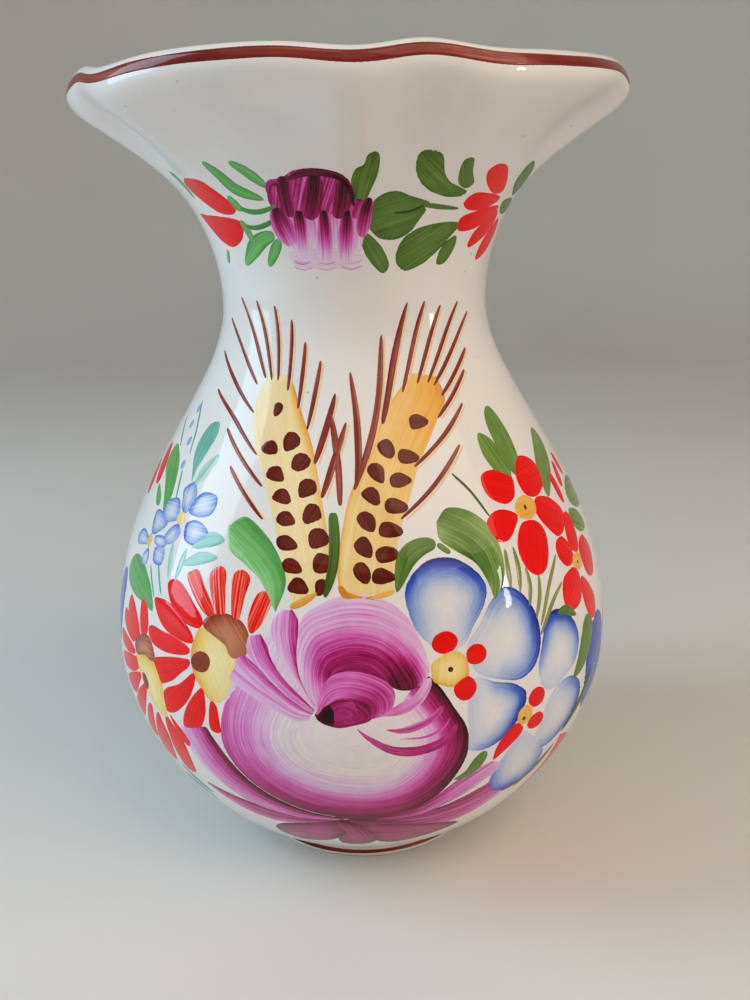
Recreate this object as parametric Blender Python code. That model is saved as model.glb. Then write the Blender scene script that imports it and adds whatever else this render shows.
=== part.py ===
"""Hand-painted folk pottery vase with a fluted mouth and a ring foot.

Metres, +Z up. The origin is the centre of the foot's underside, on the surface the vase stands on.
Azimuth 0 is the painted front, which faces -Y, and it grows towards +X.
"""
import math

import bmesh
import bpy
from mathutils import Vector, geometry

MM = 0.001

# ---- driving dimensions -------------------------------------------------------------------
BELLY_RADIUS = 67.0 * MM
BELLY_HEIGHT = 57.0 * MM
NECK_RADIUS = 33.8 * MM
NECK_HEIGHT = 146.7 * MM
FLARE_RADIUS = 59.3 * MM        # where the flare is flattest, before the lip turns up
FLARE_HEIGHT = 188.8 * MM
FLARE_SLOPE = math.radians(31.0)
LIP_RADIUS = 66.5 * MM
LIP_TURN = 195.5 * MM           # the outer wall is upright here, and the rounded lip starts
LIP_RISE = 3.6 * MM             # from there to the lip's top
WALL = 4.5 * MM
FLOOR_THICKNESS = 6.0 * MM

FOOT_RADIUS = 32.0 * MM
FOOT_INNER_RADIUS = 25.5 * MM
FOOT_HEIGHT = 4.0 * MM
FOOT_CHAMFER = 0.6 * MM
FOOT_RECESS = 5.4 * MM          # height of the body's underside inside the ring
JOINT_GAP = 0.3 * MM            # between pieces that touch on the real vase

# Lengths of the curve handles that round the outline.
BODY_START_RADIUS = 32.4 * MM
BODY_START_SLOPE = math.radians(25.0)
BODY_START_HANDLE = 22.0 * MM
BELLY_HANDLE_DOWN = 17.5 * MM
BELLY_HANDLE_UP = 45.0 * MM
NECK_HANDLE = 22.7 * MM
FLARE_HANDLE_IN = 11.0 * MM
FLARE_HANDLE_OUT = 4.1 * MM
LIP_HANDLE = 2.6 * MM

# The mouth's folds, pressed in by hand, so they are a little uneven in width.
LOBES = 9
RUFFLE = 1.5 * MM               # how far a fold stands off the plain flare
RUFFLE_AT_LIP = 0.55            # share of that left at the lip
RUFFLE_START = 171.0 * MM
RUFFLE_FULL = 188.0 * MM
RUFFLE_SHIFT = math.radians(40.0)
RUFFLE_DRIFT = 1.2              # radians of phase
RUFFLE_DRIFT_FOLDS = 5
RUFFLE_DRIFT_SHIFT = math.radians(-138.0)

BAND_INSET = 0.6 * MM           # depth of the seat that a painted line lies in
BAND_THICKNESS = 0.5 * MM
RIM_BAND_LOW = 195.8 * MM
RIM_BAND_HIGH = 198.1 * MM
FOOT_BAND_LOW = 0.9 * MM
FOOT_BAND_HIGH = 2.5 * MM

SEGMENTS = 8 * LOBES
BELLY_STEPS = 6
SHOULDER_STEPS = 7
FLARE_STEPS = 7
LIP_STEPS = 3
LIP_ROUND_STEPS = 5
INNER_ROW_STEP = 2              # the inner wall keeps every second row of the outer one
SHARP_ANGLE = math.radians(40.0)


# ---- the turned outline -------------------------------------------------------------------
def bezier(start, start_handle, end_handle, end, steps):
    """Points (radius, height) along one cubic curve, without its first point."""
    ends = [Vector(p) for p in (start, start_handle, end_handle, end)]
    return [(p.x, p.y) for p in geometry.interpolate_bezier(*ends, steps + 1)][1:]


def step_along(point, slope, distance):
    """The point this far from a point of the outline, at an angle above level."""
    return (point[0] + distance * math.cos(slope), point[1] + distance * math.sin(slope))


def outer_profile():
    """The thrown shell's outer line, from the foot joint up to where the lip is upright."""
    foot = (BODY_START_RADIUS, FOOT_HEIGHT + JOINT_GAP)
    belly = (BELLY_RADIUS, BELLY_HEIGHT)
    neck = (NECK_RADIUS, NECK_HEIGHT)
    flare = (FLARE_RADIUS, FLARE_HEIGHT)
    lip = (LIP_RADIUS, LIP_TURN)
    up = math.radians(90.0)
    line = [foot]
    line += bezier(foot, step_along(foot, BODY_START_SLOPE, BODY_START_HANDLE),
                   step_along(belly, up, -BELLY_HANDLE_DOWN), belly, BELLY_STEPS)
    line += bezier(belly, step_along(belly, up, BELLY_HANDLE_UP),
                   step_along(neck, up, -NECK_HANDLE), neck, SHOULDER_STEPS)
    line += bezier(neck, step_along(neck, up, NECK_HANDLE),
                   step_along(flare, FLARE_SLOPE, -FLARE_HANDLE_IN), flare, FLARE_STEPS)
    line += bezier(flare, step_along(flare, FLARE_SLOPE, FLARE_HANDLE_OUT),
                   step_along(lip, up, -LIP_HANDLE), lip, LIP_STEPS)
    return line


def normals(line):
    """Outward unit normal at each point of an open line that climbs from foot to lip."""
    found = []
    for i in range(len(line)):
        before = Vector(line[max(i - 1, 0)])
        after = Vector(line[min(i + 1, len(line) - 1)])
        along = (after - before).normalized()
        found.append(Vector((along.y, -along.x)))
    return found


def smooth_step(low, high, value):
    """0 below low, 1 above high, and a smooth rise between."""
    t = min(max((value - low) / (high - low), 0.0), 1.0)
    return t * t * (3.0 - 2.0 * t)


def fold_weight(height):
    """How much of a fold shows at this height of the plain outline."""
    rise = smooth_step(RUFFLE_START, RUFFLE_FULL, height)
    fade = min(max((height - RUFFLE_FULL) / (LIP_TURN - RUFFLE_FULL), 0.0), 1.0)
    return rise * (1.0 - (1.0 - RUFFLE_AT_LIP) * fade)


def fold(azimuth):
    """+1 on a fold that bulges out and down, -1 in the hollow between two folds."""
    drift = RUFFLE_DRIFT * math.cos(RUFFLE_DRIFT_FOLDS * azimuth + RUFFLE_DRIFT_SHIFT)
    return math.cos(LOBES * azimuth + RUFFLE_SHIFT + drift)


def place(radius, height, weight, azimuth):
    """The point of the turned outline at this azimuth, with the mouth's folds in it."""
    push = RUFFLE * weight * fold(azimuth)
    r = radius + push * math.sin(FLARE_SLOPE)
    z = height - push * math.cos(FLARE_SLOPE)
    return (r * math.sin(azimuth), -r * math.cos(azimuth), z)


# ---- solids --------------------------------------------------------------------------------
def ceramic(name, colour, roughness):
    """A Principled material of one colour."""
    material = bpy.data.materials.new(name)
    material.use_nodes = True
    shader = material.node_tree.nodes["Principled BSDF"]
    shader.inputs["Base Color"].default_value = (*colour, 1.0)
    shader.inputs["Roughness"].default_value = roughness
    shader.inputs["Metallic"].default_value = 0.0
    return material


def turned(name, section, material, ring):
    """Turn a section of (radius, height, fold weight) points about Z.

    A ring's section is a closed loop. Otherwise its first and last points lie on the axis.
    """
    mesh = bmesh.new()
    azimuths = [2.0 * math.pi * i / SEGMENTS for i in range(SEGMENTS)]
    rows = []
    for radius, height, weight in section:
        if radius == 0.0:
            rows.append([mesh.verts.new((0.0, 0.0, height))] * SEGMENTS)
        else:
            rows.append([mesh.verts.new(place(radius, height, weight, a)) for a in azimuths])
    if ring:
        rows.append(rows[0])
    for low, high in zip(rows, rows[1:]):
        for i in range(SEGMENTS):
            j = (i + 1) % SEGMENTS
            corners = [low[i], low[j], high[j], high[i]]
            mesh.faces.new(list(dict.fromkeys(corners)))
    bmesh.ops.recalc_face_normals(mesh, faces=mesh.faces)
    data = bpy.data.meshes.new(name)
    mesh.to_mesh(data)
    mesh.free()
    data.shade_smooth()
    data.set_sharp_from_angle(angle=SHARP_ANGLE)
    data.materials.append(material)
    piece = bpy.data.objects.new(name, data)
    bpy.context.collection.objects.link(piece)
    return piece


def lip_radius(height):
    """The outer radius of the rounded lip at a height between its turn and its top."""
    rise = (height - LIP_TURN) / LIP_RISE
    return LIP_RADIUS - WALL / 2.0 + WALL / 2.0 * math.sqrt(1.0 - rise * rise)


def rim_band_seat():
    """The shallow step round the lip that the painted rim line lies in."""
    low, high = RIM_BAND_LOW, RIM_BAND_HIGH
    return [(lip_radius(low), low, RUFFLE_AT_LIP),
            (lip_radius(low) - BAND_INSET, low, RUFFLE_AT_LIP),
            (lip_radius(high) - BAND_INSET, high, RUFFLE_AT_LIP)]


def lip_round(first_height):
    """The lip's rounded top, from its outer side over to its inner side."""
    middle = LIP_RADIUS - WALL / 2.0
    start = math.asin((first_height - LIP_TURN) / LIP_RISE)
    points = []
    for i in range(LIP_ROUND_STEPS + 1):
        turn = start + (math.pi - start) * i / LIP_ROUND_STEPS
        height = LIP_TURN + LIP_RISE * math.sin(turn)
        points.append((middle + WALL / 2.0 * math.cos(turn), height, RUFFLE_AT_LIP))
    return points


def inner_wall(line, floor):
    """The inner side of the shell, a wall's thickness in, from the lip down to the floor."""
    points = []
    for (radius, height), normal in zip(line, normals(line)):
        inner = (radius - WALL * normal.x, height - WALL * normal.y, fold_weight(height))
        points.append(inner)
    above_floor = [point for point in points[:-2] if point[1] > floor + 1.0 * MM]
    return above_floor[::-INNER_ROW_STEP]


def vase_body(material):
    """The thrown shell: underside, outer wall, seat for the rim line, lip, inner wall, floor."""
    line = outer_profile()
    floor = FOOT_RECESS + FLOOR_THICKNESS
    section = [(0.0, FOOT_RECESS, 0.0),
               (FOOT_INNER_RADIUS - 2.0 * MM, FOOT_RECESS, 0.0),
               (FOOT_INNER_RADIUS, FOOT_HEIGHT + JOINT_GAP, 0.0)]
    section += [(r, z, fold_weight(z)) for r, z in line if z < RIM_BAND_LOW]
    section += rim_band_seat()
    section += lip_round(RIM_BAND_HIGH)
    wall = inner_wall(line, floor)
    section += wall
    section.append((wall[-1][0] - 7.0 * MM, floor, 0.0))
    section.append((0.0, floor, 0.0))
    return turned("vase_body", section, material, ring=False)


def rim_band(material):
    """The red-brown line painted round the lip, in its seat and flush with the glaze."""
    low = RIM_BAND_LOW + JOINT_GAP
    high = RIM_BAND_HIGH - JOINT_GAP
    inner = JOINT_GAP - BAND_INSET
    outer = inner + BAND_THICKNESS
    section = [(lip_radius(low) + outer, low, RUFFLE_AT_LIP),
               (lip_radius(high) + outer, high, RUFFLE_AT_LIP),
               (lip_radius(high) + inner, high, RUFFLE_AT_LIP),
               (lip_radius(low) + inner, low, RUFFLE_AT_LIP)]
    return turned("rim_band", section, material, ring=True)


def foot_ring(material):
    """The ring foot under the body, with a seat for its painted line and eased edges."""
    seat = FOOT_RADIUS - BAND_INSET
    outline = [(FOOT_INNER_RADIUS + FOOT_CHAMFER, 0.0),
               (FOOT_RADIUS - FOOT_CHAMFER, 0.0),
               (FOOT_RADIUS, FOOT_CHAMFER),
               (FOOT_RADIUS, FOOT_BAND_LOW),
               (seat, FOOT_BAND_LOW),
               (seat, FOOT_BAND_HIGH),
               (FOOT_RADIUS, FOOT_BAND_HIGH),
               (FOOT_RADIUS, FOOT_HEIGHT - FOOT_CHAMFER),
               (FOOT_RADIUS - FOOT_CHAMFER, FOOT_HEIGHT),
               (FOOT_INNER_RADIUS + FOOT_CHAMFER, FOOT_HEIGHT),
               (FOOT_INNER_RADIUS, FOOT_HEIGHT - FOOT_CHAMFER),
               (FOOT_INNER_RADIUS, FOOT_CHAMFER)]
    section = [(r, z, 0.0) for r, z in outline]
    return turned("foot_ring", section, material, ring=True)


def foot_band(material):
    """The red-brown line painted round the ring foot."""
    inner = FOOT_RADIUS - BAND_INSET + JOINT_GAP
    outer = inner + BAND_THICKNESS
    low = FOOT_BAND_LOW + JOINT_GAP
    high = FOOT_BAND_HIGH - JOINT_GAP
    section = [(outer, low, 0.0), (outer, high, 0.0), (inner, high, 0.0), (inner, low, 0.0)]
    return turned("foot_band", section, material, ring=True)


def main():
    for old in list(bpy.data.objects):
        bpy.data.objects.remove(old, do_unlink=True)
    vase_body(ceramic("white_glaze", (0.80, 0.78, 0.74), 0.12))
    foot_ring(ceramic("foot_glaze", (0.74, 0.70, 0.63), 0.35))
    rim_band(ceramic("rim_line", (0.30, 0.06, 0.035), 0.2))
    foot_band(ceramic("foot_line", (0.26, 0.05, 0.035), 0.25))


main()
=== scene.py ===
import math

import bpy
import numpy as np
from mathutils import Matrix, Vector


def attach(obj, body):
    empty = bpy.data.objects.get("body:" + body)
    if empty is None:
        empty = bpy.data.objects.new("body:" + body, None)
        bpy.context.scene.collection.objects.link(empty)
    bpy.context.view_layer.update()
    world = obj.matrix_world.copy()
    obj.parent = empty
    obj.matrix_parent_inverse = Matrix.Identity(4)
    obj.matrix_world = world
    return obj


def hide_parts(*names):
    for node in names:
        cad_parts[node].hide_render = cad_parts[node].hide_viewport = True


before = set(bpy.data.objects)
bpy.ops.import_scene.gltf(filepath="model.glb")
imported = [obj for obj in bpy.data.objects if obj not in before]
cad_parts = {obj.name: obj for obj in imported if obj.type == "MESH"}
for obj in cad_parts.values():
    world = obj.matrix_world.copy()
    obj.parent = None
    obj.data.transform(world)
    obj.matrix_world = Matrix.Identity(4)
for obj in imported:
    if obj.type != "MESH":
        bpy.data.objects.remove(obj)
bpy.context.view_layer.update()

# The fine model of a hand-painted pottery vase: a glazed pot with a ruffled flare, its ring foot,
# and the bouquet painted on it, one mesh for each motif. Shapes are worked out in millimetres,
# and places on the glaze are (azimuth in degrees, height in millimetres). Azimuth 0 faces -Y, the
# front, and grows towards +X. Meshes are stored in metres, in the frame of the CAD model.

MM = 0.001

# ---------------------------------------------------------------- the pot's own sizes, mm
# Pairs are (radius, height). DOWN, UP, IN, OUT and HANDLE are lengths of the curves' handles.
# The ruffle is a wave of LOBES folds that pushes the flare out and in, most at RUFFLE_FULL.
WALL = 4.5
BELLY = (67.0, 57.0)
NECK = (33.8, 146.7)
FLARE = (59.3, 188.8)
FLARE_SLOPE = math.radians(31.0)
LIP = (66.5, 195.5)
LIP_RISE = 3.6
BODY_START = (32.4, 4.3)
START_SLOPE = math.radians(25.0)
START_HANDLE = 22.0
BELLY_DOWN = 17.5
BELLY_UP = 45.0
NECK_HANDLE = 22.7
FLARE_IN = 11.0
FLARE_OUT = 4.1
LIP_HANDLE = 2.6
UNDERSIDE = 5.4
INNER_FLOOR = 11.4
FOOT_OUTER = 32.0
FOOT_INNER = 25.5
FOOT_TOP = 4.6
FOOT_MIDDLE = 2.7
FOOT_ROUND = 0.8
LOBES = 9
RUFFLE = 1.5
RUFFLE_AT_LIP = 0.55
RUFFLE_START = 171.0
RUFFLE_FULL = 188.0
RUFFLE_SHIFT = math.radians(40.0)
DRIFT = 1.2               # how unevenly the folds are spaced, in radians of a fold
DRIFT_FOLDS = 5
DRIFT_SHIFT = math.radians(-138.0)
OUTLINE_STEPS = (36, 48, 30, 12)    # points on each curve of the outline, from the foot up
NUDGE = 0.25              # how far glaze_frame looks to each side, in degrees and in mm


def bezier(a, b, c, d, steps):
    """Points on a cubic curve from a to d with handles b and c, without its last point."""
    t = np.linspace(0.0, 1.0, steps, endpoint=False)[:, None]
    a, b, c, d = (np.array(p, float) for p in (a, b, c, d))
    return a * (1 - t) ** 3 + 3 * b * (1 - t) ** 2 * t + 3 * c * (1 - t) * t ** 2 + d * t ** 3


def outer_line(fine=1):
    """The pot's outer outline, (radius, height) from the foot up to the lip."""
    start = (BODY_START[0] + START_HANDLE * math.cos(START_SLOPE),
             BODY_START[1] + START_HANDLE * math.sin(START_SLOPE))
    reach = (math.cos(FLARE_SLOPE), math.sin(FLARE_SLOPE))
    into = (FLARE[0] - FLARE_IN * reach[0], FLARE[1] - FLARE_IN * reach[1])
    out = (FLARE[0] + FLARE_OUT * reach[0], FLARE[1] + FLARE_OUT * reach[1])
    foot_up, belly_up, neck_up, flare_up = (steps * fine for steps in OUTLINE_STEPS)
    return np.vstack([
        bezier(BODY_START, start, (BELLY[0], BELLY[1] - BELLY_DOWN), BELLY, foot_up),
        bezier(BELLY, (BELLY[0], BELLY[1] + BELLY_UP), (NECK[0], NECK[1] - NECK_HANDLE),
               NECK, belly_up),
        bezier(NECK, (NECK[0], NECK[1] + NECK_HANDLE), into, FLARE, neck_up),
        bezier(FLARE, out, (LIP[0], LIP[1] - LIP_HANDLE), LIP, flare_up),
        [LIP],
    ])


def lip_line(first, last, steps):
    """The rounded lip's outline between two angles from its outer side, in radians."""
    angles = np.linspace(first, last, steps)
    middle = LIP[0] - WALL / 2
    return np.stack([middle + WALL / 2 * np.cos(angles), LIP[1] + LIP_RISE * np.sin(angles)], -1)


LINE = np.vstack([outer_line(3), lip_line(0.1, 1.5, 20)])    # what the painting lies on


def push_at(azimuth, height):
    """How far the ruffle pushes the flare out and down, mm. azimuth is in radians."""
    t = np.clip((height - RUFFLE_START) / (RUFFLE_FULL - RUFFLE_START), 0.0, 1.0)
    fade = np.clip((height - RUFFLE_FULL) / (LIP[1] - RUFFLE_FULL), 0.0, 1.0)
    weight = t * t * (3 - 2 * t) * (1 - (1 - RUFFLE_AT_LIP) * fade)
    drift = DRIFT * np.cos(DRIFT_FOLDS * azimuth + DRIFT_SHIFT)
    return RUFFLE * weight * np.cos(LOBES * azimuth + RUFFLE_SHIFT + drift)


def placed(radius, height, azimuth):
    """Points in mm for a radius, a height and an azimuth in radians, with the ruffle."""
    push = push_at(azimuth, height)
    r = radius + push * math.sin(FLARE_SLOPE)
    z = height - push * math.cos(FLARE_SLOPE)
    return np.stack(np.broadcast_arrays(r * np.sin(azimuth), -r * np.cos(azimuth), z), -1)


def on_glaze(az, z):
    """Points on the outer glaze, mm, for azimuths in degrees and heights in mm."""
    az, z = np.broadcast_arrays(np.asarray(az, float), np.asarray(z, float))
    return placed(np.interp(z, LINE[:, 1], LINE[:, 0]), z, np.radians(az))


def glaze_frame(az, z):
    """The points, the outward normals, and the mm that a degree and a mm of height cover."""
    across = on_glaze(az + NUDGE, z) - on_glaze(az - NUDGE, z)
    up = on_glaze(az, z + NUDGE) - on_glaze(az, z - NUDGE)
    normal = np.cross(across, up)
    normal /= np.linalg.norm(normal, axis=-1, keepdims=True)
    per_degree = np.linalg.norm(across, axis=-1) / (2 * NUDGE)
    per_mm = np.linalg.norm(up, axis=-1) / (2 * NUDGE)
    return on_glaze(az, z), normal, per_degree, per_mm


# ---------------------------------------------------------------- colours and materials

def srgb(r, g, b):
    """A linear colour from 0 to 255 display values, by the sRGB curve."""
    def one(v):
        v /= 255.0
        return v / 12.92 if v <= 0.04045 else ((v + 0.055) / 1.055) ** 2.4
    return (one(r), one(g), one(b), 1.0)


GLAZE_WHITE = (238, 232, 228)
HAIR_SCALE = (0.045, 1.9, 1.0)      # noise per mm along and across the brush hairs, and by seed
POOL_SCALE = (0.3, 0.35, 1.0)       # the same for pools of colour
HAIR_CONTRAST = 3.2                 # how much a fully dry brush's streaks change the load
POOL_CONTRAST = 0.14                # how much pools of colour change it
PIGMENTS = {                        # display colours by the load of colour, from 0 to 1
    "magenta": [(0.0, GLAZE_WHITE), (0.2, (232, 192, 228)), (0.42, (224, 116, 192)),
                (0.62, (188, 42, 126)), (0.8, (130, 8, 62)), (0.92, (78, 0, 26)),
                (1.0, (40, 0, 12))],
    "scarlet": [(0.0, (250, 206, 196)), (0.3, (248, 92, 70)), (0.55, (250, 16, 10)),
                (0.8, (218, 2, 4)), (1.0, (150, 0, 2))],
    "green": [(0.0, (214, 224, 184)), (0.3, (160, 184, 108)), (0.55, (104, 136, 58)),
              (0.8, (62, 90, 28)), (1.0, (32, 56, 10))],
    "fern": [(0.0, (208, 234, 206)), (0.33, (136, 198, 122)), (0.58, (84, 156, 74)),
             (0.83, (44, 104, 40)), (1.0, (22, 66, 24))],
    "teal": [(0.0, (224, 236, 230)), (0.35, (140, 198, 184)), (0.65, (66, 146, 124)),
             (1.0, (22, 90, 70))],
    "olive": [(0.0, (176, 178, 110)), (0.5, (104, 112, 40)), (1.0, (56, 64, 16))],
    "cobalt": [(0.0, GLAZE_WHITE), (0.25, (208, 212, 228)), (0.5, (146, 170, 220)),
               (0.75, (66, 96, 196)), (1.0, (26, 44, 146))],
    "ochre": [(0.0, (250, 234, 192)), (0.3, (244, 212, 148)), (0.6, (244, 182, 80)),
              (1.0, (204, 116, 20))],
    "yellow": [(0.0, (250, 236, 182)), (0.4, (246, 212, 126)), (0.7, (236, 172, 66)),
               (1.0, (212, 130, 24))],
    "apricot": [(0.0, (242, 226, 204)), (0.5, (242, 194, 130)), (1.0, (226, 150, 70))],
    "rust": [(0.0, (218, 150, 130)), (0.5, (144, 50, 34)), (1.0, (84, 18, 8))],
    "brown": [(0.0, (214, 150, 116)), (0.4, (168, 78, 48)), (0.7, (104, 28, 8)),
              (1.0, (56, 10, 2))],
}


MIX_A, MIX_B, MIX_RESULT = 6, 7, 2  # the colour sockets of a Mix node


def add_node(tree, kind, settings=(), **inputs):
    """A node of that kind with its properties and its unlinked inputs set."""
    made = tree.nodes.new(kind)
    for key, value in dict(settings).items():
        setattr(made, key, value)
    for key, value in inputs.items():
        made.inputs[key.replace("_", " ")].default_value = value
    return made


def ramp(tree, stops):
    """A colour ramp node with those (position, 0 to 255 colour) stops."""
    made = tree.nodes.new("ShaderNodeValToRGB")
    elements = made.color_ramp.elements
    elements[0].position, elements[0].color = stops[0][0], srgb(*stops[0][1])
    elements[1].position, elements[1].color = stops[-1][0], srgb(*stops[-1][1])
    for position, colour in stops[1:-1]:
        elements.new(position).color = srgb(*colour)
    return made


def noise(tree, vector, **inputs):
    """A noise texture over that vector."""
    made = add_node(tree, "ShaderNodeTexNoise", **inputs)
    tree.links.new(vector, made.inputs["Vector"])
    return made.outputs["Fac"]


def maths(tree, operation, *values):
    """A calculation from numbers and sockets."""
    made = add_node(tree, "ShaderNodeMath", {"operation": operation})
    for socket, given in zip(made.inputs, values):
        if isinstance(given, float):
            socket.default_value = given
        else:
            tree.links.new(given, socket)
    return made.outputs[0]


def stretched(tree, vector, scale):
    """That vector times three numbers."""
    made = add_node(tree, "ShaderNodeVectorMath", {"operation": "MULTIPLY"})
    made.inputs[1].default_value = scale
    tree.links.new(vector, made.inputs[0])
    return made.outputs[0]


def glossy(tree, colour):
    """The fired glaze over a colour: a clear coat on a smooth body that waves very slightly."""
    link = tree.links.new
    place = add_node(tree, "ShaderNodeTexCoord").outputs["Object"]
    wave = noise(tree, place, Scale=38.0, Detail=2.0, Roughness=0.4)
    peel = noise(tree, place, Scale=420.0, Detail=2.0, Roughness=0.5)
    bump = add_node(tree, "ShaderNodeBump", Strength=0.35, Distance=0.0006)
    body = add_node(tree, "ShaderNodeBsdfPrincipled", Roughness=0.35, IOR=1.5,
                    Specular_IOR_Level=0.08, Coat_Weight=0.8, Coat_Roughness=0.035,
                    Coat_IOR=1.42)
    out = add_node(tree, "ShaderNodeOutputMaterial")
    link(maths(tree, "MULTIPLY_ADD", peel, 0.06, wave), bump.inputs["Height"])
    link(bump.outputs["Normal"], body.inputs["Normal"])
    link(bump.outputs["Normal"], body.inputs["Coat Normal"])
    link(colour, body.inputs["Base Color"])
    link(body.outputs["BSDF"], out.inputs["Surface"])


def new_tree(name):
    """A material with that name, and its empty node tree."""
    material = bpy.data.materials.new(name)
    material.use_nodes = True
    material.node_tree.nodes.clear()
    return material, material.node_tree


def glaze_material():
    """White tin glaze: faint warm and cool clouds and a few tiny grey specks."""
    material, tree = new_tree("white_tin_glaze")
    link = tree.links.new
    place = add_node(tree, "ShaderNodeTexCoord").outputs["Object"]
    specks = add_node(tree, "ShaderNodeTexVoronoi", Scale=150.0)
    white = ramp(tree, [(0.3, (232, 228, 226)), (0.5, GLAZE_WHITE), (0.72, (240, 235, 227))])
    speck = ramp(tree, [(0.035, (150, 140, 132)), (0.07, (255, 255, 255))])
    mix = add_node(tree, "ShaderNodeMix", {"data_type": "RGBA", "blend_type": "MULTIPLY"},
                   Factor=0.35)
    link(place, specks.inputs["Vector"])
    link(noise(tree, place, Scale=26.0, Detail=3.0), white.inputs["Fac"])
    link(specks.outputs["Distance"], speck.inputs["Fac"])
    link(white.outputs["Color"], mix.inputs[MIX_A])
    link(speck.outputs["Color"], mix.inputs[MIX_B])
    glossy(tree, mix.outputs[MIX_RESULT])
    return material


def pigment_material(name):
    """Glaze colour from a brush: load sets how much colour, and streaks run along each stroke."""
    material, tree = new_tree("pigment_" + name)
    link = tree.links.new
    brush, grain = (add_node(tree, "ShaderNodeAttribute", {"attribute_name": key})
                    for key in ("brush", "grain"))
    split = add_node(tree, "ShaderNodeSeparateXYZ")
    link(brush.outputs["Vector"], split.inputs[0])
    load, dryness = split.outputs["X"], split.outputs["Y"]
    hairs = noise(tree, stretched(tree, grain.outputs["Vector"], HAIR_SCALE), Scale=1.0,
                  Detail=3.0, Roughness=0.6)
    pools = noise(tree, stretched(tree, grain.outputs["Vector"], POOL_SCALE), Scale=1.0,
                  Detail=2.0)
    contrast = maths(tree, "MULTIPLY", maths(tree, "SUBTRACT", hairs, 0.5), HAIR_CONTRAST)
    streaks = maths(tree, "MULTIPLY", contrast, dryness)
    pooled = maths(tree, "MULTIPLY_ADD", pools, POOL_CONTRAST, load)
    level = maths(tree, "SUBTRACT", pooled, POOL_CONTRAST / 2)
    colour = ramp(tree, PIGMENTS[name])
    link(maths(tree, "ADD", level, streaks), colour.inputs["Fac"])
    glossy(tree, colour.outputs["Color"])
    return material


MATERIALS = {name: pigment_material(name) for name in PIGMENTS}
WHITE = glaze_material()


# ---------------------------------------------------------------- meshes

def mesh_object(name, points, faces, material):
    """A smooth-shaded object from points in mm."""
    mesh = bpy.data.meshes.new(name)
    mesh.from_pydata([tuple(p) for p in np.asarray(points) * MM], [], faces)
    mesh.validate()
    mesh.shade_smooth()
    mesh.materials.append(material)
    made = bpy.data.objects.new(name, mesh)
    bpy.context.scene.collection.objects.link(made)
    return made


def store(made, **values):
    """Stores three numbers per point under each name, for the materials to read."""
    for key, rows in values.items():
        layer = made.data.attributes.new(key, "FLOAT_VECTOR", "POINT")
        layer.data.foreach_set("vector", np.asarray(rows, np.float32).ravel())


def turned(name, line, columns, material, closed=False):
    """A body turned around Z from a (radius, height) line, with the flare's ruffle in it.

    An end of the line at radius 0 closes in a point. closed joins the last point to the first.
    """
    angles = np.linspace(0.0, 2 * math.pi, columns, endpoint=False)
    points, rows = [], []
    for radius, height in line:
        if radius < 1e-6:
            rows.append([len(points)] * columns)
            points.append((0.0, 0.0, height))
            continue
        rows.append(list(range(len(points), len(points) + columns)))
        points.extend(placed(radius, np.full(columns, height), angles))
    faces = []
    pairs = list(zip(rows, rows[1:]))
    if closed:
        pairs.append((rows[-1], rows[0]))
    for low, high in pairs:
        for i in range(columns):
            j = (i + 1) % columns
            ring = [low[i], low[j], high[j], high[i]]
            faces.append([v for k, v in enumerate(ring) if v not in ring[:k]])
    return mesh_object(name, points, faces, material)


# ---------------------------------------------------------------- brush work

ROUND = (0.38, 0.38)      # blunt at both ends
COMMA = (0.40, 0.95)      # blunt start, pointed end
LEAF = (0.65, 0.80)       # pointed at both ends, fullest before the middle
TAIL = (0.95, 0.40)       # pointed start, blunt end
LINER = (0.24, 0.30)      # an even line that thins at its very ends
SINK = -0.03              # the edge of a stroke lies this far under the glaze, mm
CROWN = 0.035             # and its middle this far over it
LAYER = 0.02              # each later layer lies this much higher
KEEL = -0.6               # the underside of a stroke, inside the wall
END_RISE = 0.7            # a stroke rises over this length from each of its ends, mm
THINNEST = 0.16           # its least width, mm
WAVER = 0.05              # how much its width wavers, as a share
STROKE_ROWS = (12, 30)    # the fewest and the most rows of points along it
SEEDS = (0.0, 40.0)       # where a stroke's streaks are in the noise
LONG = 999.0              # a blot's lean that follows its greatest length
HAIR_ROUND = 0.7          # hairs that run round a blot are scaled as at this share of its radius
ROUND_TRIP = 6.3          # an outline's length for each mm of its radius, nearly
OVAL_POINTS = 10
OVAL_WOBBLE = 0.05        # how uneven an oval's outline is, as a share
OVAL_HAIRS = -60          # how its hairs lie to its lean, in degrees
CURVE_STEPS = 16          # points between two given places of a curve
DICE = np.random.default_rng(11)


def along(points, at, closed=False):
    """Places at those fractions of a smooth curve through points, and its length in mm."""
    p = np.array(points, float)
    if closed:
        p = np.vstack([p[-1], p, p[0], p[1]])
    elif len(p) == 2:
        p = np.vstack([2 * p[0] - p[1], p, 2 * p[1] - p[0]])
    else:
        p = np.vstack([2 * p[0] - p[1], p, 2 * p[-1] - p[-2]])
    t = np.linspace(0.0, 1.0, CURVE_STEPS, endpoint=False)[:, None]
    dense = [0.5 * (2 * b + (c - a) * t + (2 * a - 5 * b + 4 * c - d) * t ** 2
                    + (3 * b - a - 3 * c + d) * t ** 3)
             for a, b, c, d in zip(p, p[1:], p[2:], p[3:])]
    dense = np.vstack(dense + [p[-2:-1]])
    spot = on_glaze(dense[:, 0], dense[:, 1])
    run = np.concatenate([[0.0], np.cumsum(np.linalg.norm(np.diff(spot, axis=0), axis=1))])
    want = np.asarray(at) * run[-1]
    return np.stack([np.interp(want, run, dense[:, k]) for k in (0, 1)], -1), run[-1]


def eased(count):
    """count + 1 fractions from 0 to 1, closer together at both ends."""
    return 0.5 - 0.5 * np.cos(np.linspace(0.0, math.pi, count + 1))


def brush_width(columns):
    """columns + 1 places from -1 to 1 across a brush, closer together at its sides."""
    return np.sin(np.linspace(-math.pi / 2, math.pi / 2, columns + 1))


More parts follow.
